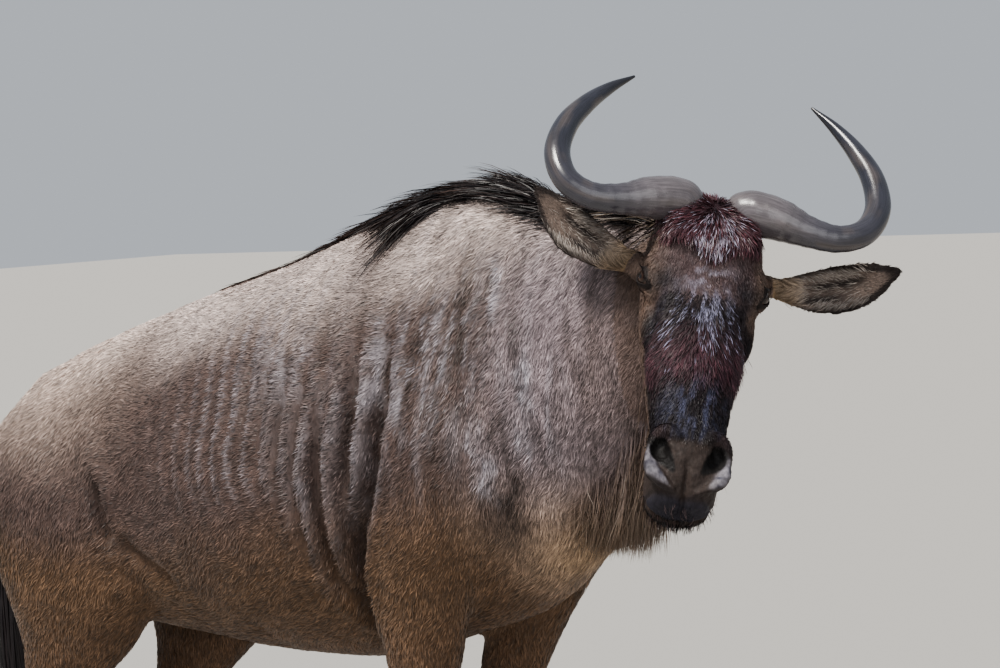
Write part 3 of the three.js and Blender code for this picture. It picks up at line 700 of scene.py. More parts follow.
def lid_ring(head_points, side):
    """The same for points on the head, which are far outside it where they lie behind the eye."""
    out, along, high = eye_ways(side)
    place = head_points - seated_eye(side)
    ring = opening_ring(dot(place, along), dot(place, high))
    return np.where(dot(place, out) > -8, ring, 9.0)


def shape_lids(points):
    """Opens the skin over the eyeball, with a thick rim and a crease over the upper lid."""
    head = to_head(points)
    for side in (1, -1):
        out, along, high = eye_ways(side)
        place = head - seated_eye(side)
        forward = dot(place, out)
        long = dot(place, along)
        tall = dot(place, high)
        ring = opening_ring(long, tall)
        flat = long**2 + tall**2
        over_ball = np.sqrt(np.maximum(EYE_RADIUS**2 - flat, 9.0))
        near = (forward > -8) & (flat < 46**2)
        rim = over_ball + LID_THICKNESS + 0.9 * bell(ring - 1.16, 0.14)
        crease = -1.8 * bell(ring - 1.95, 0.16) - 1.0 * bell(ring - 2.5, 0.14)
        target = mix(over_ball - 5, rim, ease(ring, 0.84, 1.0))
        share = np.where(near, 1 - ease(ring, 1.3, 2.4), 0)
        moved = forward * (1 - share) + target * share + np.where(near, crease, 0)
        # The lids keep to a shell round the ball, so that it never shows beside its opening
        shell = np.sqrt(np.maximum((EYE_RADIUS + LID_THICKNESS) ** 2 - flat, 0.0)) - 1.0
        moved = np.where(near & (ring > 0.99) & (shell > 0), np.maximum(moved, shell), moved)
        head = head + out * (moved - forward)[:, None]
    return from_head(head)


def line_distance(points, path):
    """How far points are, in X and Z alone, from a broken line, and how far along it they are."""
    path = np.asarray(path, float)
    flat = points[:, [0, 2]]
    best = np.full(len(points), 1e9)
    along = np.zeros(len(points))
    for i in range(len(path) - 1):
        step = path[i + 1] - path[i]
        share = np.clip(((flat - path[i]) @ step) / (step @ step), 0, 1)
        gap = np.linalg.norm(flat - path[i] - share[:, None] * step, axis=1)
        closer = gap < best
        best = np.where(closer, gap, best)
        along = np.where(closer, (i + share) / (len(path) - 1), along)
    return best, along


STIFLE_CREASE = [(-618, 850), (-609, 790), (-596, 745)]
# Folds of the flank and the shoulder, as lines in X and Z, with their depth and half width
FOLDS = [
    ([(-145, 1040), (-150, 900), (-149, 808), (-138, 690), (-125, 640)], 19, 12),
    ([(-118, 1090), (-91, 940), (-101, 783), (-112, 670)], 16, 11),
    ([(-60, 1100), (-42, 939), (-56, 853), (-96, 742), (-116, 650)], 23, 13),
    ([(-178, 1030), (-186, 840), (-172, 720)], 12, 10),
    ([(-205, 1030), (-212, 900), (-206, 790)], 7, 10),
    ([(-236, 1035), (-224, 985), (-214, 880)], 5, 9),
    ([(-266, 1060), (-246, 965), (-240, 870)], 4, 10),
    ([(-300, 1050), (-282, 960), (-276, 870)], 3.5, 10),
    ([(190, 1110), (196, 1010), (190, 870), (160, 780)], 8, 22),
    ([(105, 1120), (98, 1010), (112, 900)], 4, 15),
    ([(-622, 963), (-596, 880), (-588, 850)], 5, 16),
    (STIFLE_CREASE, 18, 12),
    ([(-596, 765), (-545, 728), (-480, 690)], 9, 13),
]
# Bones and muscles under the skin: middle, reach, height
SWELLINGS = [
    ((-660, 92, 1036), 42, 8),
    ((-860, 78, 930), 38, 6),
    ((60, 150, 1010), 70, 9),
    ((-10, 170, 905), 55, 7),
    ((110, 130, 800), 48, 8),
    ((-20, 160, 740), 55, 6),
    ((-690, 190, 820), 75, 8),
    ((-300, 215, 860), 130, 6),
]


def sculpt_body(points, normals):
    height = np.zeros(len(points))
    outer = ease(np.abs(points[:, 1]), 60, 110)
    for path, depth, width in FOLDS:
        gap, along = line_distance(points, path)
        strength = ease(along, 0.0, 0.35) * (1 - 0.7 * ease(along, 0.85, 1.0)) * outer
        height -= depth * strength * bell(gap, width)
        height += depth * 0.38 * strength * bell(gap - width * 2.0, width * 0.8)
    for (x, y, z), reach, rise in SWELLINGS:
        for side in (1, -1):
            gap = np.linalg.norm(points - np.array([x, y * side, z]), axis=1)
            height += rise * bell(gap, reach)
    ribs = np.sin((points[:, 0] + 0.22 * (points[:, 2] - 850)) / 47 * 2 * np.pi)
    on_ribs = bell(points[:, 0] + 330, 150) * bell(points[:, 2] - 840, 140) * outer
    height += 1.6 * ribs * on_ribs
    on_neck = ease(points[:, 0], 150, 230) * ease(points[:, 2], 700, 800)
    height += 2.2 * on_neck * blobs(points, (26, 60, 150), 3)
    height += 1.2 * blobs(points, 60, 4) * ease(points[:, 2], 500, 700)
    return points + normals * height[:, None]


def sculpt_head(points, normals):
    """The line of the mouth, the lips, the nose pad and the hollows of the face."""
    head = to_head(points)
    height = np.zeros(len(points))
    down = -head[:, 2]
    on_head = (down > 10) & (down < 520) & (np.abs(head[:, 1]) < 96) & (head[:, 0] > -240)
    mouth = head[:, 0] + 88 - 0.07 * (down - 433)
    at_mouth = ease(down, 345, 372)
    height -= 5.5 * bell(mouth, 3.2) * at_mouth
    height += 2.4 * bell(mouth - 9, 6) * at_mouth + 2.0 * bell(mouth + 10, 7) * at_mouth
    # The groove in the middle of the nose pad, and the pad itself
    front = ease(down, 400, 425) * ease(head[:, 0], -84, -60)
    groove = mix(9.0, 3.6, ease(down, 405, 436))
    height -= 3.8 * bell(head[:, 1], groove) * front
    height += 2.4 * bell(np.abs(head[:, 1]) - 13, 8) * front * ease(down, 425, 445)
    pad = ease(down, 392, 404) * ease(head[:, 0], -96, -80)
    height += 0.5 * blobs(head, (6, 3.2, 3.2), 48) * pad + 0.7 * blobs(head, (14, 9, 7), 49) * pad
    # A crease parts the nostrils' flaps from the upper lip
    height -= 2.6 * bell(down - 463 + 0.006 * head[:, 1] ** 2, 3.5) * pad
    # The ridge of the nose, and the hollow in front of each eye
    bridge = ease(down, 170, 240) * (1 - ease(down, 380, 410)) * ease(head[:, 0], -30, -8)
    height += 3.0 * bell(head[:, 1], 18) * bridge - 2.2 * bell(np.abs(head[:, 1]) - 40, 10) * bridge
    cap = (1 - ease(down, 78, 108)) * (1 - ease(np.abs(head[:, 1]), 44, 68))
    cap = cap * ease(head[:, 0], -50, -20)
    height += 9 * cap
    height += 1.5 * blobs(head, 14, 47) * (1 - ease(down, 100, 190)) * ease(head[:, 0], -40, -10)
    for side in (1, -1):
        hollow = off_spot(head, 70, 178, -34, side)
        height -= 4.5 * bell(hollow, 20)
        cheek = off_spot(head, 70, 215, -100, side)
        height += 4.0 * bell(cheek, 45)
        tear = off_spot(head, 72, 150, -30, side)
        height -= 2.0 * bell(tear, 8)
    # The chin is narrower than the nostrils
    shaped = to_head(points + normals * (height * on_head)[:, None])
    shaped[:, 1] *= 1 - 0.2 * ease(-shaped[:, 2], 446, 482) * on_head
    return from_head(shaped)


# The plane in the head's frame where the skin's markings pass from the neck to the head
THROAT_SPOT = np.array([-209, 0, -167])
THROAT_WAY = unit(np.array([0.82, 0, -0.57]))


def past_throat(head_points):
    return dot(head_points - THROAT_SPOT, THROAT_WAY)


def build_skin():
    body = build_body()
    head = build_head()
    apply_modifier(body, "BOOLEAN", operation="UNION", solver="MANIFOLD", object=head)
    bpy.data.objects.remove(head)
    refine(body, [seated_eye(1), seated_eye(-1)], 46)
    refine(body, [seated_eye(1), seated_eye(-1)], 34)
    refine(body, [on_face(40, 420, -40, 1), on_face(40, 420, -40, -1)], 52)
    mesh = body.data
    head_points = to_head(read_points(mesh))
    throat = past_throat(head_points)
    relax(mesh, 40, bell(throat + 10, 55) * (head_points[:, 0] < -60) * 0.9)
    write_points(mesh, sculpt_body(read_points(mesh), read_normals(mesh)))
    write_points(mesh, sculpt_head(read_points(mesh), read_normals(mesh)))
    write_points(mesh, shape_lids(read_points(mesh)))
    smooth(body)
    return body


# Which part of the body a point is on

TRUNK_PART, NECK_PART, HEAD_PART, EAR_PART, FORE_PART, HIND_PART, TAIL_PART = range(7)
# X of the border between the fore and the hind legs
LEGS_BORDER = -450


def ear_place(head_points, side):
    """How far along an ear points are, from 0 to 1, how far across, and how far to its front."""
    root, onward, across, opening = ear_ways(side)
    place = head_points - root
    t = (dot(place, onward) + 12) / EAR_LENGTH
    bend = side * EAR_BEND * np.sin(np.pi * np.clip(t, 0, 1))
    offset = (dot(place, across) - bend) / EAR_HALF_WIDTH
    cup = EAR_CUP * (1 - np.clip(offset, -1, 1) ** 2) * np.sin(np.pi * np.clip(0.1 + 0.8 * t, 0, 1))
    return t, offset, dot(place, opening) - 8 + cup


def parts_of(points):
    head = to_head(points)
    part = np.full(len(points), TRUNK_PART)
    part[points[:, 0] > 110] = NECK_PART
    part[(points[:, 2] < 650) & (points[:, 0] > -330)] = FORE_PART
    part[(points[:, 2] < 660) & (points[:, 0] < -560)] = HIND_PART
    low = points[:, 2] < 560
    part[low] = np.where(points[low][:, 0] > LEGS_BORDER, FORE_PART, HIND_PART)
    part[(points[:, 0] < -930) & (np.abs(points[:, 1]) < 60) & (points[:, 2] < 935)] = TAIL_PART
    before = past_throat(head)
    near = (head[:, 2] > -530) & (np.abs(head[:, 1]) < 130) & (points[:, 0] > 330)
    part[(before > 0) & near] = HEAD_PART
    for side in (1, -1):
        t, offset, front = ear_place(head, side)
        leaf = (t > 0.1) & (t < 1.1) & (np.abs(offset) < 1.25) & (np.abs(front) < 26)
        part[leaf & (head[:, 1] * side > 84)] = EAR_PART
    return part


# Colours, given as they show on a screen


def tone(red, green, blue_sheen):
    share = np.array([red, green, blue_sheen]) / 255
    return np.where(share < 0.04045, share / 12.92, ((share + 0.055) / 1.055) ** 2.4)


BACK_PALE_AND_SUNLIT = tone(200, 184, 177)
FLANK = tone(88, 72, 67)
LOW_FLANK = tone(104, 81, 62)
LEG = tone(98, 75, 57)
LEG_DARK = tone(60, 46, 38)
NECK_GREY = tone(146, 133, 137)
STRIPE_AND_CREASE_SHADE = tone(52, 41, 37)
SHEEN_STREAK = tone(176, 172, 180)
CROUP_HIGHLIGHT = tone(214, 192, 178)
MANE_DARK = tone(22, 18, 21)
MANE_BROWN = tone(78, 56, 45)
FACE_BLACK = tone(25, 18, 22)
FACE_BROWN = tone(82, 66, 66)
CHEEK = tone(104, 87, 78)
CROWN = tone(58, 40, 46)
FROST_AND_SHEEN = tone(204, 202, 222)
EYE_PATCH = tone(112, 86, 70)
NOSE = tone(60, 50, 46)
NOSE_HIGHLIGHT = tone(142, 138, 145)
LIP = tone(32, 26, 26)
NOSTRIL_SHADE = tone(14, 11, 11)
BLUE_LIP = tone(44, 44, 56)
LOW_NECK = tone(178, 150, 116)
SHEEN = tone(176, 176, 204)
BLUE_SHEEN = tone(90, 94, 122)
BEARD = tone(122, 108, 94)
EAR_BACK = tone(92, 76, 68)
EAR_RIM = tone(38, 29, 27)
EAR_INSIDE = tone(112, 98, 90)
EAR_HOLLOW_SHADE = tone(36, 28, 27)
EAR_HAIR = tone(172, 162, 154)
CROWN_RED = tone(90, 54, 60)
PLUM = tone(82, 50, 58)
ROSE_GLINT = tone(150, 112, 128)
HORN_GREY = tone(66, 64, 71)
HORN_BLUE = tone(46, 47, 56)
HORN_BROWN = tone(94, 84, 78)
HORN_BOSS = tone(112, 105, 106)
HORN_TIP = tone(28, 28, 33)
EYE_EDGE = tone(70, 52, 44)
IRIS = tone(52, 32, 20)
IRIS_RIM = tone(24, 15, 11)
PUPIL = tone(6, 5, 6)


def trunk_height(points):
    """From 0 at the belly to 1 along the back."""
    t = TRUNK.share_at(0, np.clip(points[:, 0], -890, 160))
    sizes = flow(TRUNK.sizes, t)
    middle = flow(TRUNK.middle, t)[:, 2]
    return (points[:, 2] - middle + sizes[:, 2]) / (sizes[:, 1] + sizes[:, 2])


# The strongest stripes, as lines in X and Z, with their half width and strength
DARK_STRIPES = [
    ([(60, 1140), (81, 1047), (89, 960)], 15, 0.75),
    ([(141, 960), (144, 880), (142, 811), (126, 730)], 13, 0.85),
    ([(-42, 1110), (-20, 1040), (-8, 980)], 13, 0.45),
    ([(62, 930), (84, 850), (80, 790)], 11, 0.5),
    ([(237, 1050), (222, 930), (199, 825)], 10, 0.45),
    ([(296, 1060), (276, 950), (243, 823)], 9, 0.4),
    ([(14, 1010), (4, 930), (20, 850)], 10, 0.4),
]
# Painted sheen: pale streaks of light on the folds of the neck, shoulder and flank, with their half width
# and strength
SHEEN_STREAKS = [
    ([(100, 1150), (113, 1110), (120, 1065)], 8, 0.75),
    ([(173, 1020), (168, 940), (165, 855)], 9, 0.75),
    ([(110, 925), (124, 842), (128, 815)], 8, 0.7),
    ([(-28, 1010), (-16, 965), (8, 900)], 8, 0.45),
    ([(57, 1015), (50, 950), (46, 885)], 7, 0.5),
    ([(216, 1030), (208, 940), (196, 860)], 6, 0.35),
    ([(-70, 1090), (-62, 1010), (-70, 930)], 7, 0.4),
    ([(-205, 1070), (-196, 960)], 5, 0.4),
    ([(-236, 1050), (-222, 985), (-212, 920)], 6, 0.45),
    ([(-262, 1080), (-238, 960)], 5, 0.4),
    ([(-296, 1070), (-272, 950)], 5, 0.35),
    ([(-330, 1060), (-306, 950)], 5, 0.3),
    ([(-122, 935), (-127, 850)], 6, 0.35),
]


def brindle(points):
    """Faint upright stripes, from -1 to 1."""
    drift = 34 * blobs(points, (120, 400, 200), 5)
    wave = np.sin((points[:, 0] + drift + 0.1 * (points[:, 2] - 950) + 10) / 52 * 2 * np.pi)
    broken = 0.55 + 0.8 * blobs(points, (40, 200, 110), 6)
    return wave * broken


def along_lines(points, lines):
    """How strongly points lie on any of some lines."""
    most = np.zeros(len(points))
    rough = points.copy()
    rough[:, 0] += 9 * blobs(points, 26, 51)
    broken = ease(blobs(points, (5, 12, 30), 52) + 0.6 * blobs(points, (14, 30, 60), 53), -0.5, 0.6)
    for path, width, strength in lines:
        gap, along = line_distance(rough, path)
        ends = band(along, 0, 0.2, 0.8, 1)
        most = np.maximum(most, strength * bell(gap, width) * (0.35 + 0.65 * ends))
    return most * (0.25 + 0.75 * broken)


def body_markings(points, normals, part):
    high = trunk_height(points)
    patch = blobs(points, 90, 8)
    base = mix(LOW_FLANK, FLANK, ease(high + 0.05 * patch, 0.12, 0.42))
    # Paler along the back: partly the coat's own silver, partly painted sunlight falling on the top of the
    # body
    base = mix(base, BACK_PALE_AND_SUNLIT, ease(high + 0.07 * patch, 0.7, 1.0))
    forward = ease(points[:, 0], 60, 200)
    base = mix(base, NECK_GREY, forward * (1 - 0.5 * ease(high, 0.8, 1.0)) * 0.85)
    low_neck = forward * (1 - ease(points[:, 2], 690, 880))
    base = mix(base, LOW_NECK, 0.9 * low_neck)
    stripes = brindle(points)
    region = ease(points[:, 0], -270, -120) * ease(points[:, 2], 700, 800)
    region = region * (1 - 0.55 * ease(high, 0.85, 1.0))
    base = mix(base, STRIPE_AND_CREASE_SHADE, 0.42 * region * ease(stripes, 0.1, 0.8))
    # Painted sheen lightens the gaps between the stripes
    base = mix(base, SHEEN_STREAK, 0.16 * region * ease(-stripes, 0.3, 0.9) * ease(points[:, 2], 780, 880))
    outer = ease(np.abs(points[:, 1]), 20, 60)
    base = mix(base, STRIPE_AND_CREASE_SHADE, along_lines(points, DARK_STRIPES) * outer)
    base = mix(base, SHEEN_STREAK, along_lines(points, SHEEN_STREAKS) * outer)
    # Painted sheen: faint pale streaks behind the shoulder
    behind = bell(points[:, 0] + 300, 130) * ease(high, 0.35, 0.5) * (1 - ease(high, 0.85, 1.0))
    faint = np.sin((points[:, 0] + 0.2 * (points[:, 2] - 900) + 14 * patch) / 31 * 2 * np.pi)
    base = mix(base, SHEEN_STREAK, 0.28 * behind * ease(faint, 0.3, 0.95))
    thin = ease(blobs(points, (5, 14, 34), 12) + 0.5 * blobs(points, (3, 9, 14), 15), -0.1, 0.7)
    # Painted sheen: a shiny pale patch on the shoulder
    sheen_patch = bell(points[:, 0] - 20, 90) * bell(points[:, 2] - 1010, 110) * outer
    base = mix(base, SHEEN_STREAK, 0.5 * sheen_patch * thin)
    mottled = blobs(points, (16, 20, 10), 13) + 0.7 * blobs(points, (6, 9, 5), 14)
    base = base * (1 + 0.18 * mottled)[:, None]
    # Painted shade in the valleys of the flank's folds, and a painted highlight on the lit ridge beside
    # each
    for path, depth, width in FOLDS[:8]:
        gap, along = line_distance(points, path)
        strength = np.clip(0.25 + 0.02 * depth, 0, 0.65) * ease(along, 0.0, 0.4) * outer
        base = mix(base, STRIPE_AND_CREASE_SHADE, strength * bell(gap, width * 0.75))
        ridge = bell(gap - width * 1.7, width * 0.6) * (1 - ease(along, 0.5, 0.9))
        base = mix(base, SHEEN_STREAK, 0.4 * strength * ridge * (0.4 + 0.6 * thin))
    # Painted shade in the crease of the stifle
    gap, along = line_distance(points, STIFLE_CREASE)
    base = mix(base, STRIPE_AND_CREASE_SHADE, 0.55 * bell(gap, 11))
    crest = bell(points[:, 1], 17) * ease(high, 0.93, 0.985) * ease(points[:, 0], -470, -380)
    base = mix(base, MANE_DARK, 0.85 * crest)
    legs = np.isin(part, (FORE_PART, HIND_PART)) | (points[:, 2] < 620)
    lower = 1 - ease(points[:, 2], 520, 720)
    base = mix(base, LEG, lower * legs)
    stocking = ease(normals[:, 0], 0.1, 0.8) * (1 - ease(points[:, 2], 330, 520)) * legs
    base = mix(base, LEG_DARK, 0.7 * stocking)
    base = mix(base, LEG_DARK, (0.75 * (1 - ease(points[:, 2], 55, 150))) * legs)
    rump = 1 - ease(points[:, 0], -960, -860)
    base = mix(base, LOW_FLANK, 0.3 * rump)
    # Painted highlight where sunlight falls on the croup
    croup_light = ease(-points[:, 0], 480, 760) * ease(high, 0.4, 0.9)
    base = mix(base, CROUP_HIGHLIGHT, 0.55 * croup_light)
    tail = (part == TAIL_PART) * (1 - ease(points[:, 2], 760, 860))
    return mix(base, MANE_DARK, tail)


# The swollen edge below each nostril, painted pale as a highlight where light falls on it: out, down and
# forward
CRESCENT = [(51, 400, -24), (52, 417, -20), (47, 434, -18), (34, 448, -16), (16, 457, -20)]
CRESCENT_HALF_WIDTH = [10, 16, 15, 10, 6]
# The nostril is a comma from the top of the flap down to the groove of the nose
HOLLOW = [(42, 388, -36), (38, 403, -28), (28, 420, -20), (18, 437, -18)]
HOLLOW_HALF_WIDTH = [16, 14, 8, 4]


def band_gap(head_points, spots, half_widths, side, steps):
    """How far points are from a line on the face, in half widths of the line's band."""
    t = np.linspace(0, 1, steps)
    line = flow([on_face(*spot, side) for spot in spots], t)
    wide = flow(half_widths, t)[:, 0]
    gaps = np.linalg.norm(head_points[:, None, :] - line[None], axis=2)
    return np.min(gaps / wide[None], axis=1)


def head_markings(points):
    head = to_head(points)
    down = -head[:, 2]
    out = np.abs(head[:, 1])
    forward = head[:, 0]
    patch = blobs(points, 22, 9)
    fine = blobs(points, 8, 10)
    colour = mix(CHEEK, NECK_GREY, ease(forward + 10 * patch, -120, -200))
    jaw = 1 - ease(forward, -190, -120)
    colour = mix(colour, LOW_FLANK, 0.6 * jaw)
    # The brow between the eyes is brown grey, the blaze below it is black
    wide = 66 - 0.02 * down + 9 * patch
    front = (1 - ease(out, wide - 10, wide + 10)) * ease(forward, -62, -34)
    colour = mix(colour, FACE_BROWN, front * ease(down, 40, 70))
    black = ease(down + 14 * patch, 148, 184)
    side_black = (1 - ease(out, 70, 84)) * ease(forward + 12 * patch, -92, -58) * ease(down, 150, 200)
    colour = mix(colour, FACE_BLACK, np.maximum(front * black, side_black))
    for side in (1, -1):
        gap = off_spot(head, 62, 140, -8, side)
        colour = mix(colour, FACE_BLACK, 0.9 * bell(gap, 22))
        gap = off_spot(head, 82, 158, -62, side)
        colour = mix(colour, EYE_PATCH, 0.4 * bell(gap, 22) * ease(out, 64, 76))
        colour = mix(colour, LIP, 0.95 * (1 - ease(lid_ring(head, side), 1.25, 2.3)))
    crown = ease(forward, -60, -30) * (1 - ease(out, 52, 68))
    crown = crown * (1 - ease(down + 0.3 * out + 4 * patch, 96, 108))
    colour = mix(colour, CROWN, crown)
    # Painted sheen: strands of the face are painted pale and blue where they would catch the sky
    strand = ease(blobs(head, (8, 5, 24), 61) + 0.5 * blobs(head, (8, 2.5, 12), 62), -0.35, 0.6)
    colour = mix(colour, SHEEN, 0.72 * strand * front * bell(down - 192, 34) * bell(out, 44))
    colour = mix(colour, BLUE_SHEEN, 0.62 * strand * front * bell(down - 338, 46) * bell(out - 8, 34))
    # Pale frost on the middle of the brow, partly the hair's own colour and partly painted sheen
    light_brow = ease(fine + 0.5 * patch, -0.1, 0.7) * front * bell(down - 134, 22) * bell(out, 34)
    colour = mix(colour, FROST_AND_SHEEN, 0.34 * light_brow)
    dark_brow = ease(patch + 0.6 * fine, -0.1, 0.6) * front * bell(down - 128, 30) * bell(out - 52, 16)
    colour = mix(colour, FACE_BLACK, 0.6 * dark_brow)
    for side in (1, -1):
        gap = off_spot(head, 44, 378, -18, side)
        colour = mix(colour, FACE_BROWN, 0.7 * bell(gap, 14))
    # The bare muzzle
    muzzle = ease(down, 380, 392)
    colour = mix(colour, LIP, muzzle * (1 - ease(forward, -96, -80)))
    pad = muzzle * ease(forward, -90, -76)
    colour = mix(colour, NOSE, pad)
    for side in (1, -1):
        gap = band_gap(head, CRESCENT, CRESCENT_HALF_WIDTH, side, 16)
        edge = 0.12 * blobs(head, 9, 63)
        flap = pad * (1 - ease(gap + edge, 0.45, 1.15)) * (0.85 + 0.25 * fine)
        lit = ease(blobs(head, (12, 8, 7), 66), -1.1, 0.3)
        colour = mix(colour, mix(BLUE_LIP * 1.6, NOSE_HIGHLIGHT, lit), np.clip(flap, 0, 1))
        # Painted shade darkens the nostril's opening along this comma
        gap = band_gap(head, HOLLOW, HOLLOW_HALF_WIDTH, side, 12)
        colour = mix(colour, NOSTRIL_SHADE, 0.95 * (1 - ease(gap, 0.85, 1.3)))
    lip = pad * ease(down + 0.006 * out**2, 455, 468)
    colour = mix(colour, BLUE_LIP, 0.8 * lip)
    chin = ease(down, 440, 470) * (1 - ease(forward, -104, -92))
    return mix(colour, LIP, chin)


def ear_markings(points):
    head = to_head(points)
    colour = np.tile(EAR_BACK, (len(points), 1))
    for side in (1, -1):
        t, offset, front = ear_place(head, side)
        here = head[:, 1] * side > 60
        width = leaf_width(np.clip(t, 0, 1)) / EAR_HALF_WIDTH
        inside = ease(front, -1.0, 1.5) * ease(t, 0.06, 0.14)
        lane = offset * side
        # Painted shade darkens three hollows inside the cup
        long_hollow = bell(lane - 0.3, 0.17) * band(t, 0.2, 0.34, 0.5, 0.62)
        high_hollow = bell(lane + 0.22, 0.17) * band(t, 0.3, 0.44, 0.66, 0.8)
        low_hollow = 0.8 * bell(lane - 0.66, 0.13) * band(t, 0.3, 0.4, 0.52, 0.66)
        hollow = np.maximum(np.maximum(long_hollow, high_hollow), low_hollow)
        inner = mix(EAR_INSIDE, EAR_HOLLOW_SHADE, 0.95 * hollow)
        leaf = mix(EAR_BACK, inner, inside)
        edge = (width - np.abs(offset)) * EAR_HALF_WIDTH
        broad = 4 + 9 * ease(t, 0.35, 0.85)
        rim = np.maximum(1 - ease(edge, broad, broad + 5), ease(t, 0.86, 0.95)) * ease(t, 0.12, 0.3)
        leaf = mix(leaf, EAR_RIM, 0.95 * rim)
        leaf = mix(leaf, LOW_NECK * 0.8, 0.6 * (1 - ease(t, 0.12, 0.3)))
        colour = np.where(here[:, None], leaf, colour)
    return colour


def markings(points, normals, part):
    colour = body_markings(points, normals, part)
    on_head = part == HEAD_PART
    if on_head.any():
        colour[on_head] = head_markings(points[on_head])
    on_ear = part == EAR_PART
    if on_ear.any():
        colour[on_ear] = ear_markings(points[on_ear])
    return np.clip(colour, 0.002, 1)


def blended_markings(points, normals, part):
    """The markings, with the cheek's colours carried over the throat on to the neck."""
    colour = markings(points, normals, part)
    before = past_throat(to_head(points))
    near = (part == NECK_PART) & (before > -70)
    if near.any():
        other = head_markings(points[near])
        colour[near] = mix(colour[near], other, 0.5 * ease(before[near], -70, 0))
    return colour


def paint(mesh, colours, name="Coat"):
    attribute = mesh.color_attributes.new(name, "FLOAT_COLOR", "POINT")
    rgba = np.ones((len(colours), 4), np.float32)
    rgba[:, :3] = colours
    attribute.data.foreach_set("color", rgba.ravel())


# The coat


def combed(points, normals, part):
    """The way that the coat lies at each point."""
    way = np.tile(np.array([-1.0, 0.0, -0.35]), (len(points), 1))
    low = 1 - ease(points[:, 2], 640, 900)
    way[:, 2] -= 0.45 * low
    shoulder = ease(points[:, 0], -120, 40)
    way = mix(way, np.array([-0.55, 0.0, -0.95]), shoulder * ease(np.abs(points[:, 1]), 30, 90))
    belly = ease(-normals[:, 2], 0.5, 0.9)
    way = mix(way, np.array([-1.0, 0.0, 0.0]), belly)
    legs = np.isin(part, (FORE_PART, HIND_PART, TAIL_PART))
    down_leg = mix(way, np.array([-0.12, 0, -1.0]), 1 - ease(points[:, 2], 560, 680))
    way = np.where(legs[:, None], down_leg, way)
    stifle = (part == TRUNK_PART) * (1 - ease(points[:, 0], -700, -560))
    way = mix(way, np.array([-0.6, 0, -1.0]), stifle * ease(np.abs(points[:, 1]), 60, 120))
    head = to_head(points)
    side = np.sign(head[:, 1])
    one = np.ones(len(points))
    face = np.stack([-0.12 * one, 0.35 * head[:, 1] / 60, -one], 1)
    cheek = np.stack([-one, 0.1 * side, -0.45 * one], 1)
    aside = ease(-head[:, 0] + 0.2 * np.abs(head[:, 1]), 70, 120) * (1 - ease(-head[:, 2], 330, 400))
    face = way_from_head(mix(face, cheek, aside))
    way = np.where((part == HEAD_PART)[:, None], face, way)
    for which in (1, -1):
        onward = ear_ways(which)[1]
        here = (part == EAR_PART) & (head[:, 1] * which > 0)
        way = np.where(here[:, None], way_from_head(onward), way)
    way = way - normals * dot(way, normals)[:, None]
    return unit(way)


class Coat:
    """The skin as the coat sees it: its triangles, with their places, normals and parts."""

    def __init__(self, skin):
        mesh = skin.data
        mesh.calc_loop_triangles()
        flat = np.empty(len(mesh.loop_triangles) * 3, np.int32)
        mesh.loop_triangles.foreach_get("vertices", flat)
        self.corners = flat.reshape(-1, 3)
        self.points = read_points(mesh)
        self.normals = read_normals(mesh)
        a, b, c = (self.points[self.corners[:, i]] for i in range(3))
        self.areas = np.linalg.norm(np.cross(b - a, c - a), axis=1) / 2
        self.middles = (a + b + c) / 3
        self.facing = unit(np.cross(b - a, c - a))
        self.parts = parts_of(self.middles)
        self.tree = BVHTree.FromPolygons(self.points.tolist(), self.corners.tolist())

    def roots(self, count, weights, random):
        """Places spread over the skin, with their normals."""
        chance = self.areas * weights
        chosen = random.choice(len(chance), count, p=chance / chance.sum())
        u, v = random.random((2, count))
        over = u + v > 1
        u[over], v[over] = 1 - u[over], 1 - v[over]
        a, b, c = self.corners[chosen].T
        share = np.stack([1 - u - v, u, v], 1)
        points = sum(self.points[i] * share[:, k : k + 1] for k, i in enumerate((a, b, c)))
        normals = sum(self.normals[i] * share[:, k : k + 1] for k, i in enumerate((a, b, c)))
        return points, unit(normals)

    def lifted(self, paths, clearance):
        """Moves what lies under the skin out to just above it."""
        flat = paths.reshape(-1, 3)
        need = np.broadcast_to(np.asarray(clearance)[None, :], paths.shape[:2]).ravel()
        for i, point in enumerate(flat):
            spot, normal = self.tree.find_nearest(Vector(point), 60)[:2]
            if spot is None:
                continue
            height = (Vector(point) - spot).dot(normal)
            if height < need[i]:
                flat[i] = np.array(spot + normal * float(need[i]))
        return flat.reshape(paths.shape)


# X of the middle of the left and the right leg
FORE_LEGS_X = (-146, -60)
HIND_LEGS_X = (-790, -840)


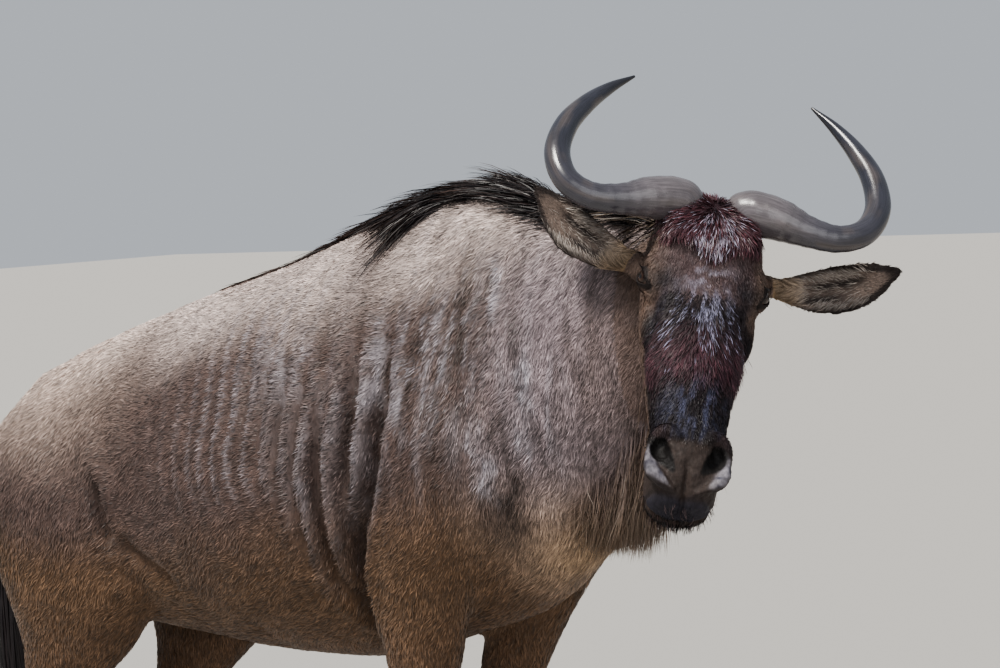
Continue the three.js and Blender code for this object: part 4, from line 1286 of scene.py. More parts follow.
def unwrapped(points, part_name):
    """Where roots lie on an unwrap of the skin's own shape, each part rolled out round its axis."""
    if part_name == "head":
        head = to_head(points)
        t = np.clip(-head[:, 2] / 520, 0, 1)
        around = np.arctan2(head[:, 1], head[:, 0] + 90) / (2 * np.pi) + 0.5
        return np.stack([around, t], 1)
    if part_name == "ears":
        head = to_head(points)
        place = np.zeros((len(points), 2))
        for side in (1, -1):
            t, offset, front = ear_place(head, side)
            here = head[:, 1] * side > 0
            sheet = np.where(front > 0, 0.25, 0.0) + (0.5 if side > 0 else 0.0)
            place[here, 0] = (sheet + (np.clip(offset, -1.3, 1.3) + 1.3) / 2.6 * 0.24)[here]
            place[here, 1] = np.clip(t, 0, 1.1)[here] / 1.1
        return place
    if part_name == "neck":
        t = NECK.share_at(0, np.clip(points[:, 0], 20, 408))
        middle = flow(NECK.middle, t)
        away = points - middle
        around = np.arctan2(away[:, 1], away[:, 2]) / (2 * np.pi) + 0.5
        return np.stack([around, ease(points[:, 0], 60, 520)], 1)
    if part_name == "legs":
        left = points[:, 1] > 0
        fore = points[:, 0] > LEGS_BORDER
        near = np.where(fore, np.where(left, *FORE_LEGS_X), np.where(left, *HIND_LEGS_X))
        away_x = points[:, 0] - near
        away_y = np.abs(points[:, 1]) - STANCE
        around = np.arctan2(away_y, away_x) / (2 * np.pi) + 0.5
        column = left * 0.5 + fore * 0.25
        return np.stack([column + around * 0.24, np.clip(points[:, 2] / 800, 0, 1)], 1)
    if part_name == "tail":
        around = np.arctan2(points[:, 1] - 4, points[:, 0] + 975) / (2 * np.pi) + 0.5
        return np.stack([around, np.clip((points[:, 2] - 550) / 420, 0, 1)], 1)
    along = np.clip((points[:, 0] + 960) / 1400, 0, 1)
    around = np.arctan2(np.abs(points[:, 1]), points[:, 2] - 850) / np.pi
    return np.stack([along, around], 1)


def ribbons(name, paths, widths, across, colours, patch, material, slot):
    """One mesh of tapered ribbons. paths is strands by points by XYZ."""
    count, steps, _ = paths.shape
    half = widths[:, None] * 0.5 * np.linspace(1.0, 0.72, steps - 1)[None, :]
    left = paths[:, :-1] - across[:, None, :] * half[:, :, None]
    right = paths[:, :-1] + across[:, None, :] * half[:, :, None]
    each = 2 * (steps - 1) + 1
    points = np.empty((count, each, 3))
    points[:, 0 : each - 1 : 2] = left
    points[:, 1 : each - 1 : 2] = right
    points[:, each - 1] = paths[:, -1]
    shade = np.empty((count, each, 3))
    shade[:, 0 : each - 1 : 2] = colours[:, :-1]
    shade[:, 1 : each - 1 : 2] = colours[:, :-1]
    shade[:, each - 1] = colours[:, -1]
    side = np.zeros(each)
    side[0 : each - 1 : 2] = -1
    side[1 : each - 1 : 2] = 1
    along = np.repeat(np.arange(steps), 2)[:each] / (steps - 1)
    uv = 0.004 + 0.99 * patch[:, None, :] + np.stack([side * 0.0013, along * 0.0026], 1)[None]
    quads = [(2 * k, 2 * k + 1, 2 * k + 3, 2 * k + 2) for k in range(steps - 2)]
    corners = [corner for quad in quads for corner in quad] + [each - 3, each - 2, each - 1]
    corners = np.array(corners)
    loops = (np.arange(count)[:, None] * each + corners[None, :]).ravel()
    sizes = np.tile([4] * (steps - 2) + [3], count)
    mesh = bpy.data.meshes.new(name)
    mesh.vertices.add(count * each)
    mesh.loops.add(len(loops))
    mesh.polygons.add(len(sizes))
    mesh.loops.foreach_set("vertex_index", loops.astype(np.int32))
    starts = np.concatenate([[0], np.cumsum(sizes)[:-1]]).astype(np.int32)
    mesh.polygons.foreach_set("loop_start", starts)
    mesh.update(calc_edges=True)
    write_points(mesh, points.reshape(-1, 3))
    mesh.polygons.foreach_set("use_smooth", np.ones(len(sizes), bool))
    layer = mesh.uv_layers.new(name="OFBake")
    layer.uv.foreach_set("vector", uv.reshape(-1, 2)[loops].astype(np.float32).ravel())
    paint(mesh, shade.reshape(-1, 3))
    mesh.materials.append(material)
    piece = bpy.data.objects.new(name, mesh)
    bpy.context.collection.objects.link(piece)
    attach(piece, "root")
    return piece


def short_coat(
    coat, name, count, weights, length, width, lift, patch_name, seed, material, slot, spread=0.34
):
    """Short blades that lie along the skin. spread is how much their brightness differs."""
    random = np.random.default_rng(seed)
    roots, normals = coat.roots(count, weights, random)
    part = parts_of(roots)
    lie = combed(roots, normals, part)
    across = np.cross(normals, lie)
    stray = random.normal(0, 0.2, count) + 0.5 * blobs(roots, 30, seed)
    lie = unit(lie + across * stray[:, None])
    across = unit(np.cross(lie, normals))
    long = length(roots) * random.uniform(0.7, 1.25, count)
    rise = lift * long * random.uniform(0.5, 1.4, count)
    paths = np.stack(
        [
            roots - normals * 0.8,
            roots + lie * (long * 0.5)[:, None] + normals * (rise * 0.75)[:, None],
            roots + lie * long[:, None] + normals * (rise * 0.85)[:, None],
        ],
        1,
    )
    colour = blended_markings(roots, normals, part)
    clump = 1 + 0.2 * blobs(roots, 7, seed + 1) + 0.14 * blobs(roots, 22, seed + 2)
    bright = np.clip(clump * random.normal(1, spread, count), 0.4, 1.9)
    colour = colour * bright[:, None]
    colours = np.stack([colour * 0.6, colour * 0.92, colour * 1.15], 1)
    tilt = random.normal(0, 0.35, count)
    across = unit(across + normals * tilt[:, None])
    wide = width * random.uniform(0.7, 1.3, count)
    patch = unwrapped(roots, patch_name)
    return ribbons(name, paths, wide, across, colours, patch, material, slot)


def curls(roots, rise, way, long, lift, droop, steps, random, spread=0.1):
    """Strands that leave the skin, lie along a way and droop: strands by points by XYZ."""
    lie = unit(way - rise * dot(way, rise)[:, None])
    across = np.cross(lie, rise)
    s = np.linspace(0, 1, steps)
    up = np.sin(np.minimum(s * 1.6, 1.3)) ** 0.9
    sway = random.normal(0, spread, len(roots))[:, None] * s**1.5 * long[:, None]
    wave = random.normal(0, 0.02, len(roots))[:, None] * np.sin(s * 7)[None] * long[:, None]
    drop = droop[:, None] * s[None] ** 1.8
    paths = roots[:, None, :] - rise[:, None, :] * (2.0 * (s == 0))[None, :, None]
    paths = paths + lie[:, None, :] * (long[:, None] * s[None])[:, :, None]
    paths = paths + rise[:, None, :] * (lift[:, None] * up[None])[:, :, None]
    paths = paths + across[:, None, :] * (sway + wave)[:, :, None]
    paths[:, :, 2] -= drop
    return paths


def head_curls(here, normals, way, long, lift, random, spread):
    """Curls of five points with no droop, laid in the head's frame."""
    rise = unit(way_to_head(normals))
    paths = curls(here, rise, way, long, lift, 0 * long, 5, random, spread)
    return from_head(paths.reshape(-1, 3)).reshape(len(here), 5, 3)


def graded(start, tips, steps, power, bright):
    """Colours along each strand, from those of its start to those of its tip."""
    share = np.linspace(0, 1, steps)[None, :, None] ** power
    colours = start[:, None, :] * (1 - share) + tips[:, None, :] * share
    return colours * bright[:, None, None]


def head_locks(name, roots, normals, way, paths, colours, widths, patch_name, material, random):
    """A piece of locks on the head, each turned a little about its own line."""
    turn = normals * random.normal(0, 0.4, len(roots))[:, None]
    across = unit(np.cross(normals, way_from_head(way)) + turn)
    wide = random.uniform(*widths, len(roots))
    ribbons(name, paths, wide, across, colours, unwrapped(roots, patch_name), material, "face")


# Materials


def new_material(name, colour, roughness):
    material = bpy.data.materials.new(name)
    material.use_nodes = True
    material.diffuse_color = (*colour, 1)
    tree = material.node_tree
    shader = tree.nodes["Principled BSDF"]
    shader.inputs["Base Color"].default_value = (*colour, 1)
    shader.inputs["Roughness"].default_value = roughness
    return material, tree, shader


def add_node(tree, kind, **values):
    node = tree.nodes.new(kind)
    for name, value in values.items():
        if hasattr(node, name):
            setattr(node, name, value)
        else:
            node.inputs[name].default_value = value
    return node


def set_sockets(node, **values):
    """Sets a node's inputs, named with _ for their spaces."""
    for name, value in values.items():
        node.inputs[name.replace("_", " ")].default_value = value


def object_noise(tree, scale, detail=3.0, roughness=0.55, stretch=(1, 1, 1)):
    coordinates = add_node(tree, "ShaderNodeTexCoord")
    mapping = add_node(tree, "ShaderNodeMapping", Scale=stretch)
    noise = add_node(tree, "ShaderNodeTexNoise", Scale=scale, Detail=detail, Roughness=roughness)
    tree.links.new(coordinates.outputs["Object"], mapping.inputs["Vector"])
    tree.links.new(mapping.outputs["Vector"], noise.inputs["Vector"])
    return noise.outputs["Fac"]


def ranged(tree, value, low, high):
    node = add_node(tree, "ShaderNodeMapRange")
    set_sockets(node, From_Min=0.3, From_Max=0.7, To_Min=low, To_Max=high)
    tree.links.new(value, node.inputs["Value"])
    return node.outputs["Result"]


def shaded_attribute(tree, shader, attribute, value):
    """The painted colour, made darker and lighter by a pattern."""
    painted = add_node(tree, "ShaderNodeAttribute", attribute_name=attribute)
    blend = add_node(tree, "ShaderNodeMix", data_type="RGBA", blend_type="MULTIPLY")
    blend.inputs[0].default_value = 1.0
    tree.links.new(painted.outputs["Color"], blend.inputs[6])
    tree.links.new(value, blend.inputs[7])
    tree.links.new(blend.outputs[2], shader.inputs["Base Color"])


def bumped(tree, shader, value, distance, strength):
    bump = add_node(tree, "ShaderNodeBump", Distance=distance, Strength=strength)
    tree.links.new(value, bump.inputs["Height"])
    tree.links.new(bump.outputs["Normal"], shader.inputs["Normal"])


def hide_material():
    material, tree, shader = new_material("hide", (0.2, 0.17, 0.15), 0.7)
    shade = object_noise(tree, 260, 4, 0.6, (1, 1, 0.45))
    shaded_attribute(tree, shader, "Coat", ranged(tree, shade, 0.6, 1.15))
    rough = object_noise(tree, 90, 2)
    tree.links.new(ranged(tree, rough, 0.5, 0.8), shader.inputs["Roughness"])
    bumped(tree, shader, object_noise(tree, 420, 3, 0.6, (1, 1, 0.35)), 0.0015, 0.6)
    set_sockets(shader, Specular_IOR_Level=0.28)
    return material


def hair_material(name, roughness, sheen, grain_low, grain_high):
    material, tree, shader = new_material(name, (0.2, 0.17, 0.15), roughness)
    shade = object_noise(tree, 70, 3, 0.6)
    shaded_attribute(tree, shader, "Coat", ranged(tree, shade, grain_low, grain_high))
    rough = ranged(tree, object_noise(tree, 30, 2), roughness - 0.08, roughness + 0.1)
    tree.links.new(rough, shader.inputs["Roughness"])
    bumped(tree, shader, object_noise(tree, 900, 2, 0.5), 0.0004, 0.4)
    set_sockets(shader, Sheen_Weight=sheen, Specular_IOR_Level=0.35)
    return material


def horn_material():
    material, tree, shader = new_material("horn_sheath", (0.06, 0.055, 0.06), 0.4)
    lengthwise = add_node(tree, "ShaderNodeAttribute", attribute_name="Grain")
    fibres = add_node(tree, "ShaderNodeTexNoise", Scale=14, Detail=4, Roughness=0.65)
    tree.links.new(lengthwise.outputs["Vector"], fibres.inputs["Vector"])
    shaded_attribute(tree, shader, "Coat", ranged(tree, fibres.outputs["Fac"], 0.66, 1.3))
    tree.links.new(ranged(tree, object_noise(tree, 60, 3), 0.18, 0.32), shader.inputs["Roughness"])
    bumped(tree, shader, fibres.outputs["Fac"], 0.0007, 0.25)
    set_sockets(shader, Specular_IOR_Level=0.7)
    return material


def eye_material():
    material, tree, shader = new_material("eye_wet", (0.012, 0.008, 0.006), 0.06)
    shade = object_noise(tree, 600, 3)
    shaded_attribute(tree, shader, "Coat", ranged(tree, shade, 0.8, 1.2))
    set_sockets(shader, Coat_Weight=0.35, Coat_Roughness=0.02, Specular_IOR_Level=0.35)
    return material


def hoof_material():
    material, tree, shader = new_material("hoof_horn", (0.03, 0.027, 0.025), 0.5)
    bands = object_noise(tree, 60, 3, 0.6, (0.4, 0.4, 5))
    ramp = add_node(tree, "ShaderNodeValToRGB")
    dark, light = ramp.color_ramp.elements
    dark.position, dark.color = 0.32, (0.018, 0.016, 0.016, 1)
    light.position, light.color = 0.7, (0.075, 0.066, 0.058, 1)
    tree.links.new(bands, ramp.inputs["Fac"])
    tree.links.new(ramp.outputs["Color"], shader.inputs["Base Color"])
    tree.links.new(ranged(tree, object_noise(tree, 120, 3), 0.4, 0.68), shader.inputs["Roughness"])
    bumped(tree, shader, bands, 0.002, 0.5)
    return material


def floor_material():
    material, tree, shader = new_material("pale_floor", (0.4, 0.385, 0.36), 0.9)
    bumped(tree, shader, object_noise(tree, 40, 3), 0.001, 0.15)
    return material


HIDE = hide_material()
FUR = hair_material("short_fur", 0.52, 0.15, 0.85, 1.12)
FACE_FUR = hair_material("face_fur", 0.56, 0.02, 0.85, 1.12)
LONG_HAIR = hair_material("long_hair", 0.38, 0.02, 0.8, 1.15)
HORN = horn_material()
EYE = eye_material()
HOOF = hoof_material()


# The pieces

# How many strands each piece of long hair has
MANE_STRANDS = 7000
TAIL_STRANDS = 4200
BEARD_STRANDS = 9000
CAP_STRANDS = 7000
BRUSH_STRANDS = 7500
EAR_STRANDS = 3000
LASHES = 34
BRISTLES = 520

FLESH = ("torso", "neck", "head", "ear_left", "ear_right", "tail")
LEG_NODES = tuple("leg_" + name for name in LEGS)


def dress_skin():
    skin = build_skin()
    mesh = skin.data
    points = read_points(mesh)
    normals = read_normals(mesh)
    colours = blended_markings(points, normals, parts_of(points))
    paint(mesh, colours * 0.85)
    mesh.materials.clear()
    mesh.materials.append(HIDE)
    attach(skin, "root")
    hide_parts(*FLESH, *LEG_NODES)
    return skin


# How long the short coat is at each root


def trunk_length(roots):
    return 11.5 + 3 * ease(-roots[:, 2], -760, -640)


def neck_length(roots):
    return 13 + 6 * ease(-roots[:, 2], -900, -760)


def leg_length(roots):
    return 7 + 6 * ease(roots[:, 2], 300, 620)


def face_length(roots):
    place = to_head(roots)
    ring = np.minimum(lid_ring(place, 1), lid_ring(place, -1))
    whole = 7.0 + 5 * ease(-place[:, 0], 90, 170) - 2.5 * ease(-place[:, 2], 330, 400)
    return whole * mix(0.4, 1.0, ease(ring, 1.3, 3.4))


def ear_length(roots):
    return np.full(len(roots), 5.5)


def dress_fur(coat):
    points = coat.middles
    part = coat.parts
    head = to_head(points)
    trunk = part == TRUNK_PART
    left = points[:, 1] >= 0
    bare = ease(-head[:, 2], 384, 396) * ease(head[:, 0], -100, -88) * (1 - ease(-head[:, 2], 466, 474))
    for which in (1, -1):
        bare = np.maximum(bare, 1 - ease(lid_ring(head, which), 1.12, 1.3))
        cavity = (head - on_face(42, 402, -52, which)) / np.array([34, 17, 19])
        bare = np.maximum(bare, 1 - ease(np.linalg.norm(cavity, axis=1), 0.9, 1.05))
    legs = np.isin(part, (FORE_PART, HIND_PART))
    fore = points[:, 0] > LEGS_BORDER
    body_coats = (
        ("fur_trunk_left", 66000, trunk & left, trunk_length, 1.7, 0.14, "trunk"),
        ("fur_trunk_right", 66000, trunk & ~left, trunk_length, 1.7, 0.14, "trunk"),
        ("fur_neck", 66000, part == NECK_PART, neck_length, 1.7, 0.15, "neck"),
        ("fur_legs_front", 38000, legs & fore, leg_length, 1.9, 0.1, "legs"),
        ("fur_legs_hind", 40000, legs & ~fore, leg_length, 1.9, 0.1, "legs"),
        ("fur_tail", 5000, part == TAIL_PART, leg_length, 1.9, 0.12, "tail"),
    )
    for seed, row in enumerate(body_coats, 21):
        short_coat(coat, *row, seed, FUR, "coat")
    face = (part == HEAD_PART) * (1 - bare) * np.where(head[:, 0] > -70, 1.4, 1.0)
    ears = part == EAR_PART
    head_coats = (
        ("fur_face", 62000, face, face_length, 1.25, 0.16, "head"),
        ("fur_ears", 20000, ears, ear_length, 1.2, 0.14, "ears"),
    )
    for seed, row in enumerate(head_coats, 27):
        short_coat(coat, *row, seed, FACE_FUR, "face", 0.16)


def dress_mane(coat):
    random = np.random.default_rng(31)
    count = MANE_STRANDS
    x = random.uniform(-450, 400, count)
    x = np.where(random.random(count) < 0.35, random.uniform(-150, 250, count), x)
    spread = random.normal(0, 1, count) * mix(7.0, 12.0, ease(x, -300, -50))
    roots = np.empty((count, 3))
    normals = np.empty((count, 3))
    for i in range(count):
        start = Vector((x[i], spread[i] + (-0.11 * max(x[i] - 150, 0)), 1500))
        spot, normal = coat.tree.ray_cast(start, Vector((0, 0, -1)))[:2]
        if spot is None:
            spot, normal = coat.tree.find_nearest(start)[:2]
        roots[i] = spot
        normals[i] = normal
    # Most of the mane lies back along the crest, and one lock falls to the right behind the hump
    falling = bell(x + 62, 34) * (spread < 2) * (random.random(count) < 0.8)
    lean = random.normal(-0.06, 0.16, count) - 1.25 * falling
    way = np.stack([-np.ones(count), lean, np.zeros(count)], 1)
    fade = ease(-x, 0, 330)
    long = mix(112.0, 80.0, fade) * random.uniform(0.55, 1.15, count) * (1 + 0.15 * falling)
    lift = mix(20.0, 6.0, fade) * random.uniform(0.3, 1.2, count) * (1 - 0.5 * falling)
    droop = long * mix(0.1, 0.06, fade) + long * 0.45 * falling
    paths = curls(roots, normals, way, long, lift, droop, 6, random, 0.06)
    paths = coat.lifted(paths, np.array([-2.0, 2.0, 2.5, 3.0, 3.0, 2.5]))
    brown = np.clip(0.15 + 0.6 * fade + random.normal(0, 0.25, count), 0, 1)
    tips = mix(MANE_DARK, MANE_BROWN, brown)
    tan = (random.random(count) < 0.45 * ease(x, 260, 340)) * random.random(count)
    tips = mix(tips, BEARD, tan)
    start = mix(MANE_DARK, BEARD, 0.7 * tan)
    colours = graded(start, tips, 6, 1.5, random.uniform(0.6, 1.4, count))
    across = unit(np.cross(unit(way), normals) + normals * random.normal(0, 0.8, count)[:, None])
    wide = random.uniform(1.0, 2.0, count)
    ribbons("mane", paths, wide, across, colours, unwrapped(roots, "trunk"), LONG_HAIR, "mane")


def dress_tail():
    random = np.random.default_rng(33)
    count = TAIL_STRANDS
    t = random.uniform(0.42, 1.0, count)
    middle = flow(DOCK_PATH, t)
    radius = flow(DOCK_RADII, t)[:, 0] - 2
    angle = random.uniform(0, 2 * np.pi, count)
    rise = np.stack([np.cos(angle), np.sin(angle), np.zeros(count)], 1)
    roots = middle + rise * radius[:, None]
    steps = 8
    s = np.linspace(0, 1, steps)
    end = random.uniform(300, 520, count) - 60 * ease(t, 0.7, 1.0)
    long = roots[:, 2] - end
    flare = random.uniform(4, 30, count)
    paths = np.empty((count, steps, 3))
    paths[:] = roots[:, None, :]
    paths[:, :, 2] -= long[:, None] * s[None]
    bulge = np.sin(np.pi * np.clip(s * 0.85 + 0.05, 0, 1))[None] * flare[:, None]
    paths[:, :, :2] += (rise[:, None, :] * bulge[:, :, None])[:, :, :2]
    paths[:, :, 0] += (random.normal(0, 5, count)[:, None] + 10) * s[None] ** 1.5
    paths[:, :, 1] += random.normal(0, 6, count)[:, None] * s[None] ** 1.5
    colour = MANE_DARK * random.uniform(0.6, 1.7, count)[:, None]
    brown = mix(colour, MANE_BROWN, 0.25 * random.random(count))
    colours = graded(colour, brown, steps, 2, np.ones(count))
    across = unit(np.stack([np.sin(angle), -np.cos(angle), np.zeros(count)], 1) + rise * 0.4)
    wide = random.uniform(1.6, 3.0, count)
    patch = unwrapped(roots, "tail")
    ribbons("tail_tuft", paths, wide, across, colours, patch, LONG_HAIR, "mane")


def dress_beard(coat):
    random = np.random.default_rng(35)
    points = coat.middles
    below = ease(-coat.facing[:, 2], 0.5, 0.9)
    head = to_head(points)
    throat = (coat.parts == NECK_PART) & (points[:, 0] > 190)
    jaw = (coat.parts == HEAD_PART) & (head[:, 0] < -110) & (-head[:, 2] < 330)
    middle = np.where(coat.parts == HEAD_PART, np.abs(head[:, 1]) < 46, True)
    weights = (throat | jaw) * below * middle
    count = BEARD_STRANDS
    roots, normals = coat.roots(count, weights, random)
    far = ease(roots[:, 0], 200, 300)
    long = mix(90.0, 150.0, bell(roots[:, 0] - 330, 90)) * random.uniform(0.45, 1.0, count)
    long = long * mix(0.6, 1.0, far)
    way = np.tile(np.array([-0.25, 0.0, -1.0]), (count, 1))
    s = np.linspace(0, 1, 6)
    paths = roots[:, None, :] + normals[:, None, :] * (4 * np.sin(s * 1.5))[None, :, None]
    paths = paths + (unit(way)[:, None, :] * (long[:, None] * s[None])[:, :, None])
    paths[:, :, 0] += random.normal(0, 11, count)[:, None] * s[None] ** 1.5
    paths[:, :, 1] += random.normal(0, 11, count)[:, None] * s[None] ** 1.5
    paths[:, :, 0] += (3 * random.normal(0, 1, count))[:, None] * np.sin(5 * s)[None]
    start = blended_markings(roots, normals, parts_of(roots))
    tips = mix(BEARD, LOW_FLANK, random.uniform(0, 0.7, count))
    colours = graded(start, tips, 6, 0.8, random.uniform(0.6, 1.15, count))
    turn = random.uniform(0, 2 * np.pi, count)
    across = np.stack([np.cos(turn), np.sin(turn), np.zeros(count)], 1)
    wide = random.uniform(0.6, 1.2, count)
    patch = unwrapped(roots, "neck")
    ribbons("beard", paths, wide, across, colours, patch, LONG_HAIR, "mane")


def dress_forelock(coat):
    """The cap of red brown hair between the horns, and the dark brush down the face."""
    random = np.random.default_rng(37)
    head = to_head(coat.middles)
    down = -head[:, 2]
    cap = (coat.parts == HEAD_PART) & (down + 0.3 * np.abs(head[:, 1]) < 92) & (head[:, 0] > -70)
    weights = cap * (1 - ease(np.abs(head[:, 1]), 56, 70))
    count = CAP_STRANDS
    roots, normals = coat.roots(count, weights, random)
    here = to_head(roots)
    # The hair leaves a whorl near the poll and falls down and outward over the brow
    fan = np.stack([np.zeros(count), here[:, 1] / 60, 0.15 - (-here[:, 2] - 10) / 60], 1)
    toward = ease(-here[:, 2], 50, 85) * here[:, 1] / 75
    fan[:, 1] -= toward * 1.6
    long = mix(18.0, 25.0, ease(-here[:, 2], 10, 90)) * random.uniform(0.6, 1.15, count)
    long = long + 15 * bell(here[:, 1], 14) * ease(-here[:, 2], 60, 84) * random.random(count)
    lift = random.uniform(1, 5, count)
    paths = head_curls(here, normals, fan, long, lift, random, 0.12)
    base = mix(CROWN, CROWN_RED, random.random(count))
    # Pale frosted tips, partly the hair's own colour and partly painted sheen, gather in the middle of the
    # cap
    lock = ease(blobs(here, (12, 7, 20), 64), -0.5, 0.4)
    middle = bell(here[:, 1] + 2, 26) * bell(-here[:, 2] - 66, 32) * (0.35 + 0.65 * lock)
    sheen = 0.16 * ease(blobs(here, (16, 10, 14), 65), 0.1, 0.6)
    frost_and_sheen = (random.random(count) < middle + sheen) * random.uniform(0.4, 1.0, count)
    tips = mix(base * 1.35, FROST_AND_SHEEN * 1.2, 0.85 * frost_and_sheen)
    colours = graded(base * 0.6, tips, 5, 1.6, random.uniform(0.6, 1.3, count))
    head_locks("forelock", roots, normals, fan, paths, colours, (0.8, 1.5), "head", LONG_HAIR, random)
    brush = (coat.parts == HEAD_PART) & (down > 158) & (down < 366) & (head[:, 0] > -56)
    weights = brush * (1 - ease(np.abs(head[:, 1]), 50, 66)) * (0.4 + 1.2 * bell(down - 232, 48))
    count = BRUSH_STRANDS
    roots, normals = coat.roots(count, weights, random)
    here = to_head(roots)
    fan = np.stack([np.zeros(count), here[:, 1] / 42, np.full(count, -1.0)], 1)
    long = (10 + 22 * bell(-here[:, 2] - 235, 42)) * random.uniform(0.6, 1.2, count)
    lift = random.uniform(1, 5, count) * (0.5 + bell(-here[:, 2] - 235, 42))
    paths = head_curls(here, normals, fan, long, lift, random, 0.16)
    base = mix(FACE_BLACK, PLUM, random.random(count) * bell(-here[:, 2] - 250, 45))
    # Painted sheen: tips are pale on the upper face and blue lower down, with painted rose glints between
    high = bell(-here[:, 2] - 192, 30) * bell(here[:, 1], 42)
    strand = ease(blobs(here, (8, 5, 24), 61), -0.3, 0.5)
    frost_and_sheen = (random.random(count) < 0.8 * high * strand) * random.uniform(0.5, 1.0, count)
    blue_sheen = strand * bell(-here[:, 2] - 330, 40) * bell(here[:, 1], 36)
    glint = (random.random(count) < 0.35) * strand * bell(-here[:, 2] - 262, 34) * bell(here[:, 1] + 6, 34)
    tips = mix(mix(base * 1.5, SHEEN * 1.1, 0.85 * frost_and_sheen), BLUE_SHEEN * 1.3, 0.7 * blue_sheen)
    tips = mix(tips, ROSE_GLINT, 0.5 * glint)
    colours = graded(base * 0.7, tips, 5, 1.6, random.uniform(0.6, 1.4, count))
    head_locks("face_brush", roots, normals, fan, paths, colours, (0.8, 1.4), "head", FACE_FUR, random)


def dress_ear_hair(coat):
    """Long pale hair inside the ears, and a tan tuft at the foot of each."""
    random = np.random.default_rng(41)
    head = to_head(coat.middles)
    weights = np.zeros(len(head))
    for side in (1, -1):
        t, offset, front = ear_place(head, side)
        inside = (coat.parts == EAR_PART) & (head[:, 1] * side > 0) & (front > 0.5)
        near_edge = ease(np.abs(offset), 0.45, 0.8)
        weights += inside * (1 - ease(t, 0.55, 0.8)) * (0.08 + near_edge + 2 * (1 - ease(t, 0.14, 0.3)))
    count = EAR_STRANDS
    roots, normals = coat.roots(count, weights, random)
    here = to_head(roots)
    way = np.zeros((count, 3))
    t = np.zeros(count)
    for side in (1, -1):
        _, onward, across, _ = ear_ways(side)
        share, offset, front = ear_place(here, side)
        on_side = here[:, 1] * side > 0
        lean = onward * 0.9 - across * (0.9 * np.clip(offset, -1, 1))[:, None]
        way[on_side] = lean[on_side]
        t[on_side] = share[on_side]
    base = 1 - ease(t, 0.16, 0.32)
    long = mix(15.0, 25.0, base) * random.uniform(0.6, 1.15, count)
    lift = random.uniform(1.5, 5, count)
    paths = head_curls(here, normals, way, long, lift, random, 0.14)
    pale = mix(EAR_HAIR, LOW_NECK, 0.5 * base)
    start = ear_markings(roots) * 0.7
    colours = graded(start, pale, 5, 1, random.uniform(0.55, 1.15, count))
    head_locks("ear_hair", roots, normals, way, paths, colours, (0.6, 1.1), "ears", LONG_HAIR, random)


def dress_lashes():
    random = np.random.default_rng(43)
    each = LASHES
    all_paths = []
    for side in (1, -1):
        out, along, high = eye_ways(side)
        up = -side * high
        place = np.linspace(-0.8, 0.8, each) + random.normal(0, 0.03, each)
        s = np.linspace(0, 1, 5)
        root = seated_eye(side) + along * (place * LIDS_LONG)[:, None]
        root = root + up * (LIDS_HIGH * np.sqrt(1 - place**2) + 1.5)[:, None] + out * 16
        long = random.uniform(10, 16, each) * (1 - 0.35 * place**2)
        sweep = out[None] * 0.85 + up[None] * 0.3 + along[None] * (0.5 * place)[:, None]
        path = root[:, None, :] + sweep[:, None, :] * (long[:, None] * s[None])[:, :, None]
        path = path - up[None, None] * (3.5 * np.sin(np.pi * s))[None, :, None]
        all_paths.append(from_head(path.reshape(-1, 3)).reshape(each, 5, 3))
    paths = np.concatenate(all_paths)
    count = len(paths)
    across = np.tile(way_from_head(np.array([0.0, 0.0, 1.0])), (count, 1))
    colours = np.tile(MANE_DARK, (count, 5, 1)) * random.uniform(0.6, 1.8, count)[:, None, None]
    patch = unwrapped(paths[:, 0], "head")
    ribbons("lashes", paths, np.full(count, 0.7), across, colours, patch, LONG_HAIR, "face")


def dress_bristles(coat):
    """Stiff short hairs on the lips and the chin."""
    random = np.random.default_rng(45)
    head = to_head(coat.middles)
    down = -head[:, 2]
    lips = ease(down, 400, 430) * (1 - ease(head[:, 0], -92, -78)) + ease(down, 462, 472)
    count = BRISTLES
    roots, normals = coat.roots(count, (coat.parts == HEAD_PART) * lips, random)
    way = np.tile(np.array([0.1, 0.0, -1.0]), (count, 1))
    long = random.uniform(6, 15, count)
    paths = head_curls(to_head(roots), normals, way, long, long * 0.7, random, 0.12)
    pale = (random.random(count) < 0.35)[:, None]
    colour = np.where(pale, FACE_BROWN * 1.6, MANE_DARK)
    colours = colour[:, None, :] * np.linspace(0.7, 1.1, 5)[None, :, None]
    across = unit(np.cross(normals, way_from_head(way)) + 0.01)
    patch = unwrapped(roots, "head")
    wide = random.uniform(0.4, 0.8, count)
    ribbons("bristles", paths, wide, across, colours, patch, LONG_HAIR, "face")


HORN_PATH = [
    (0.13, 14, -26),
    (0.22, 8, -17),
    (0.4, 18, -7),
    (0.58, 31, -3),
    (0.77, 34, -3),
    (0.93, 14, -5),
    (1.0, -29, -10),
    (0.96, -80, -18),
    (0.85, -126, -28),
    (0.71, -165, -37),
    (0.56, -196, -44),
]
HORN_GIRTH = [0.8, 1.0, 0.96, 0.72, 0.62, 0.6, 0.6, 0.55, 0.44, 0.28, 0.07]


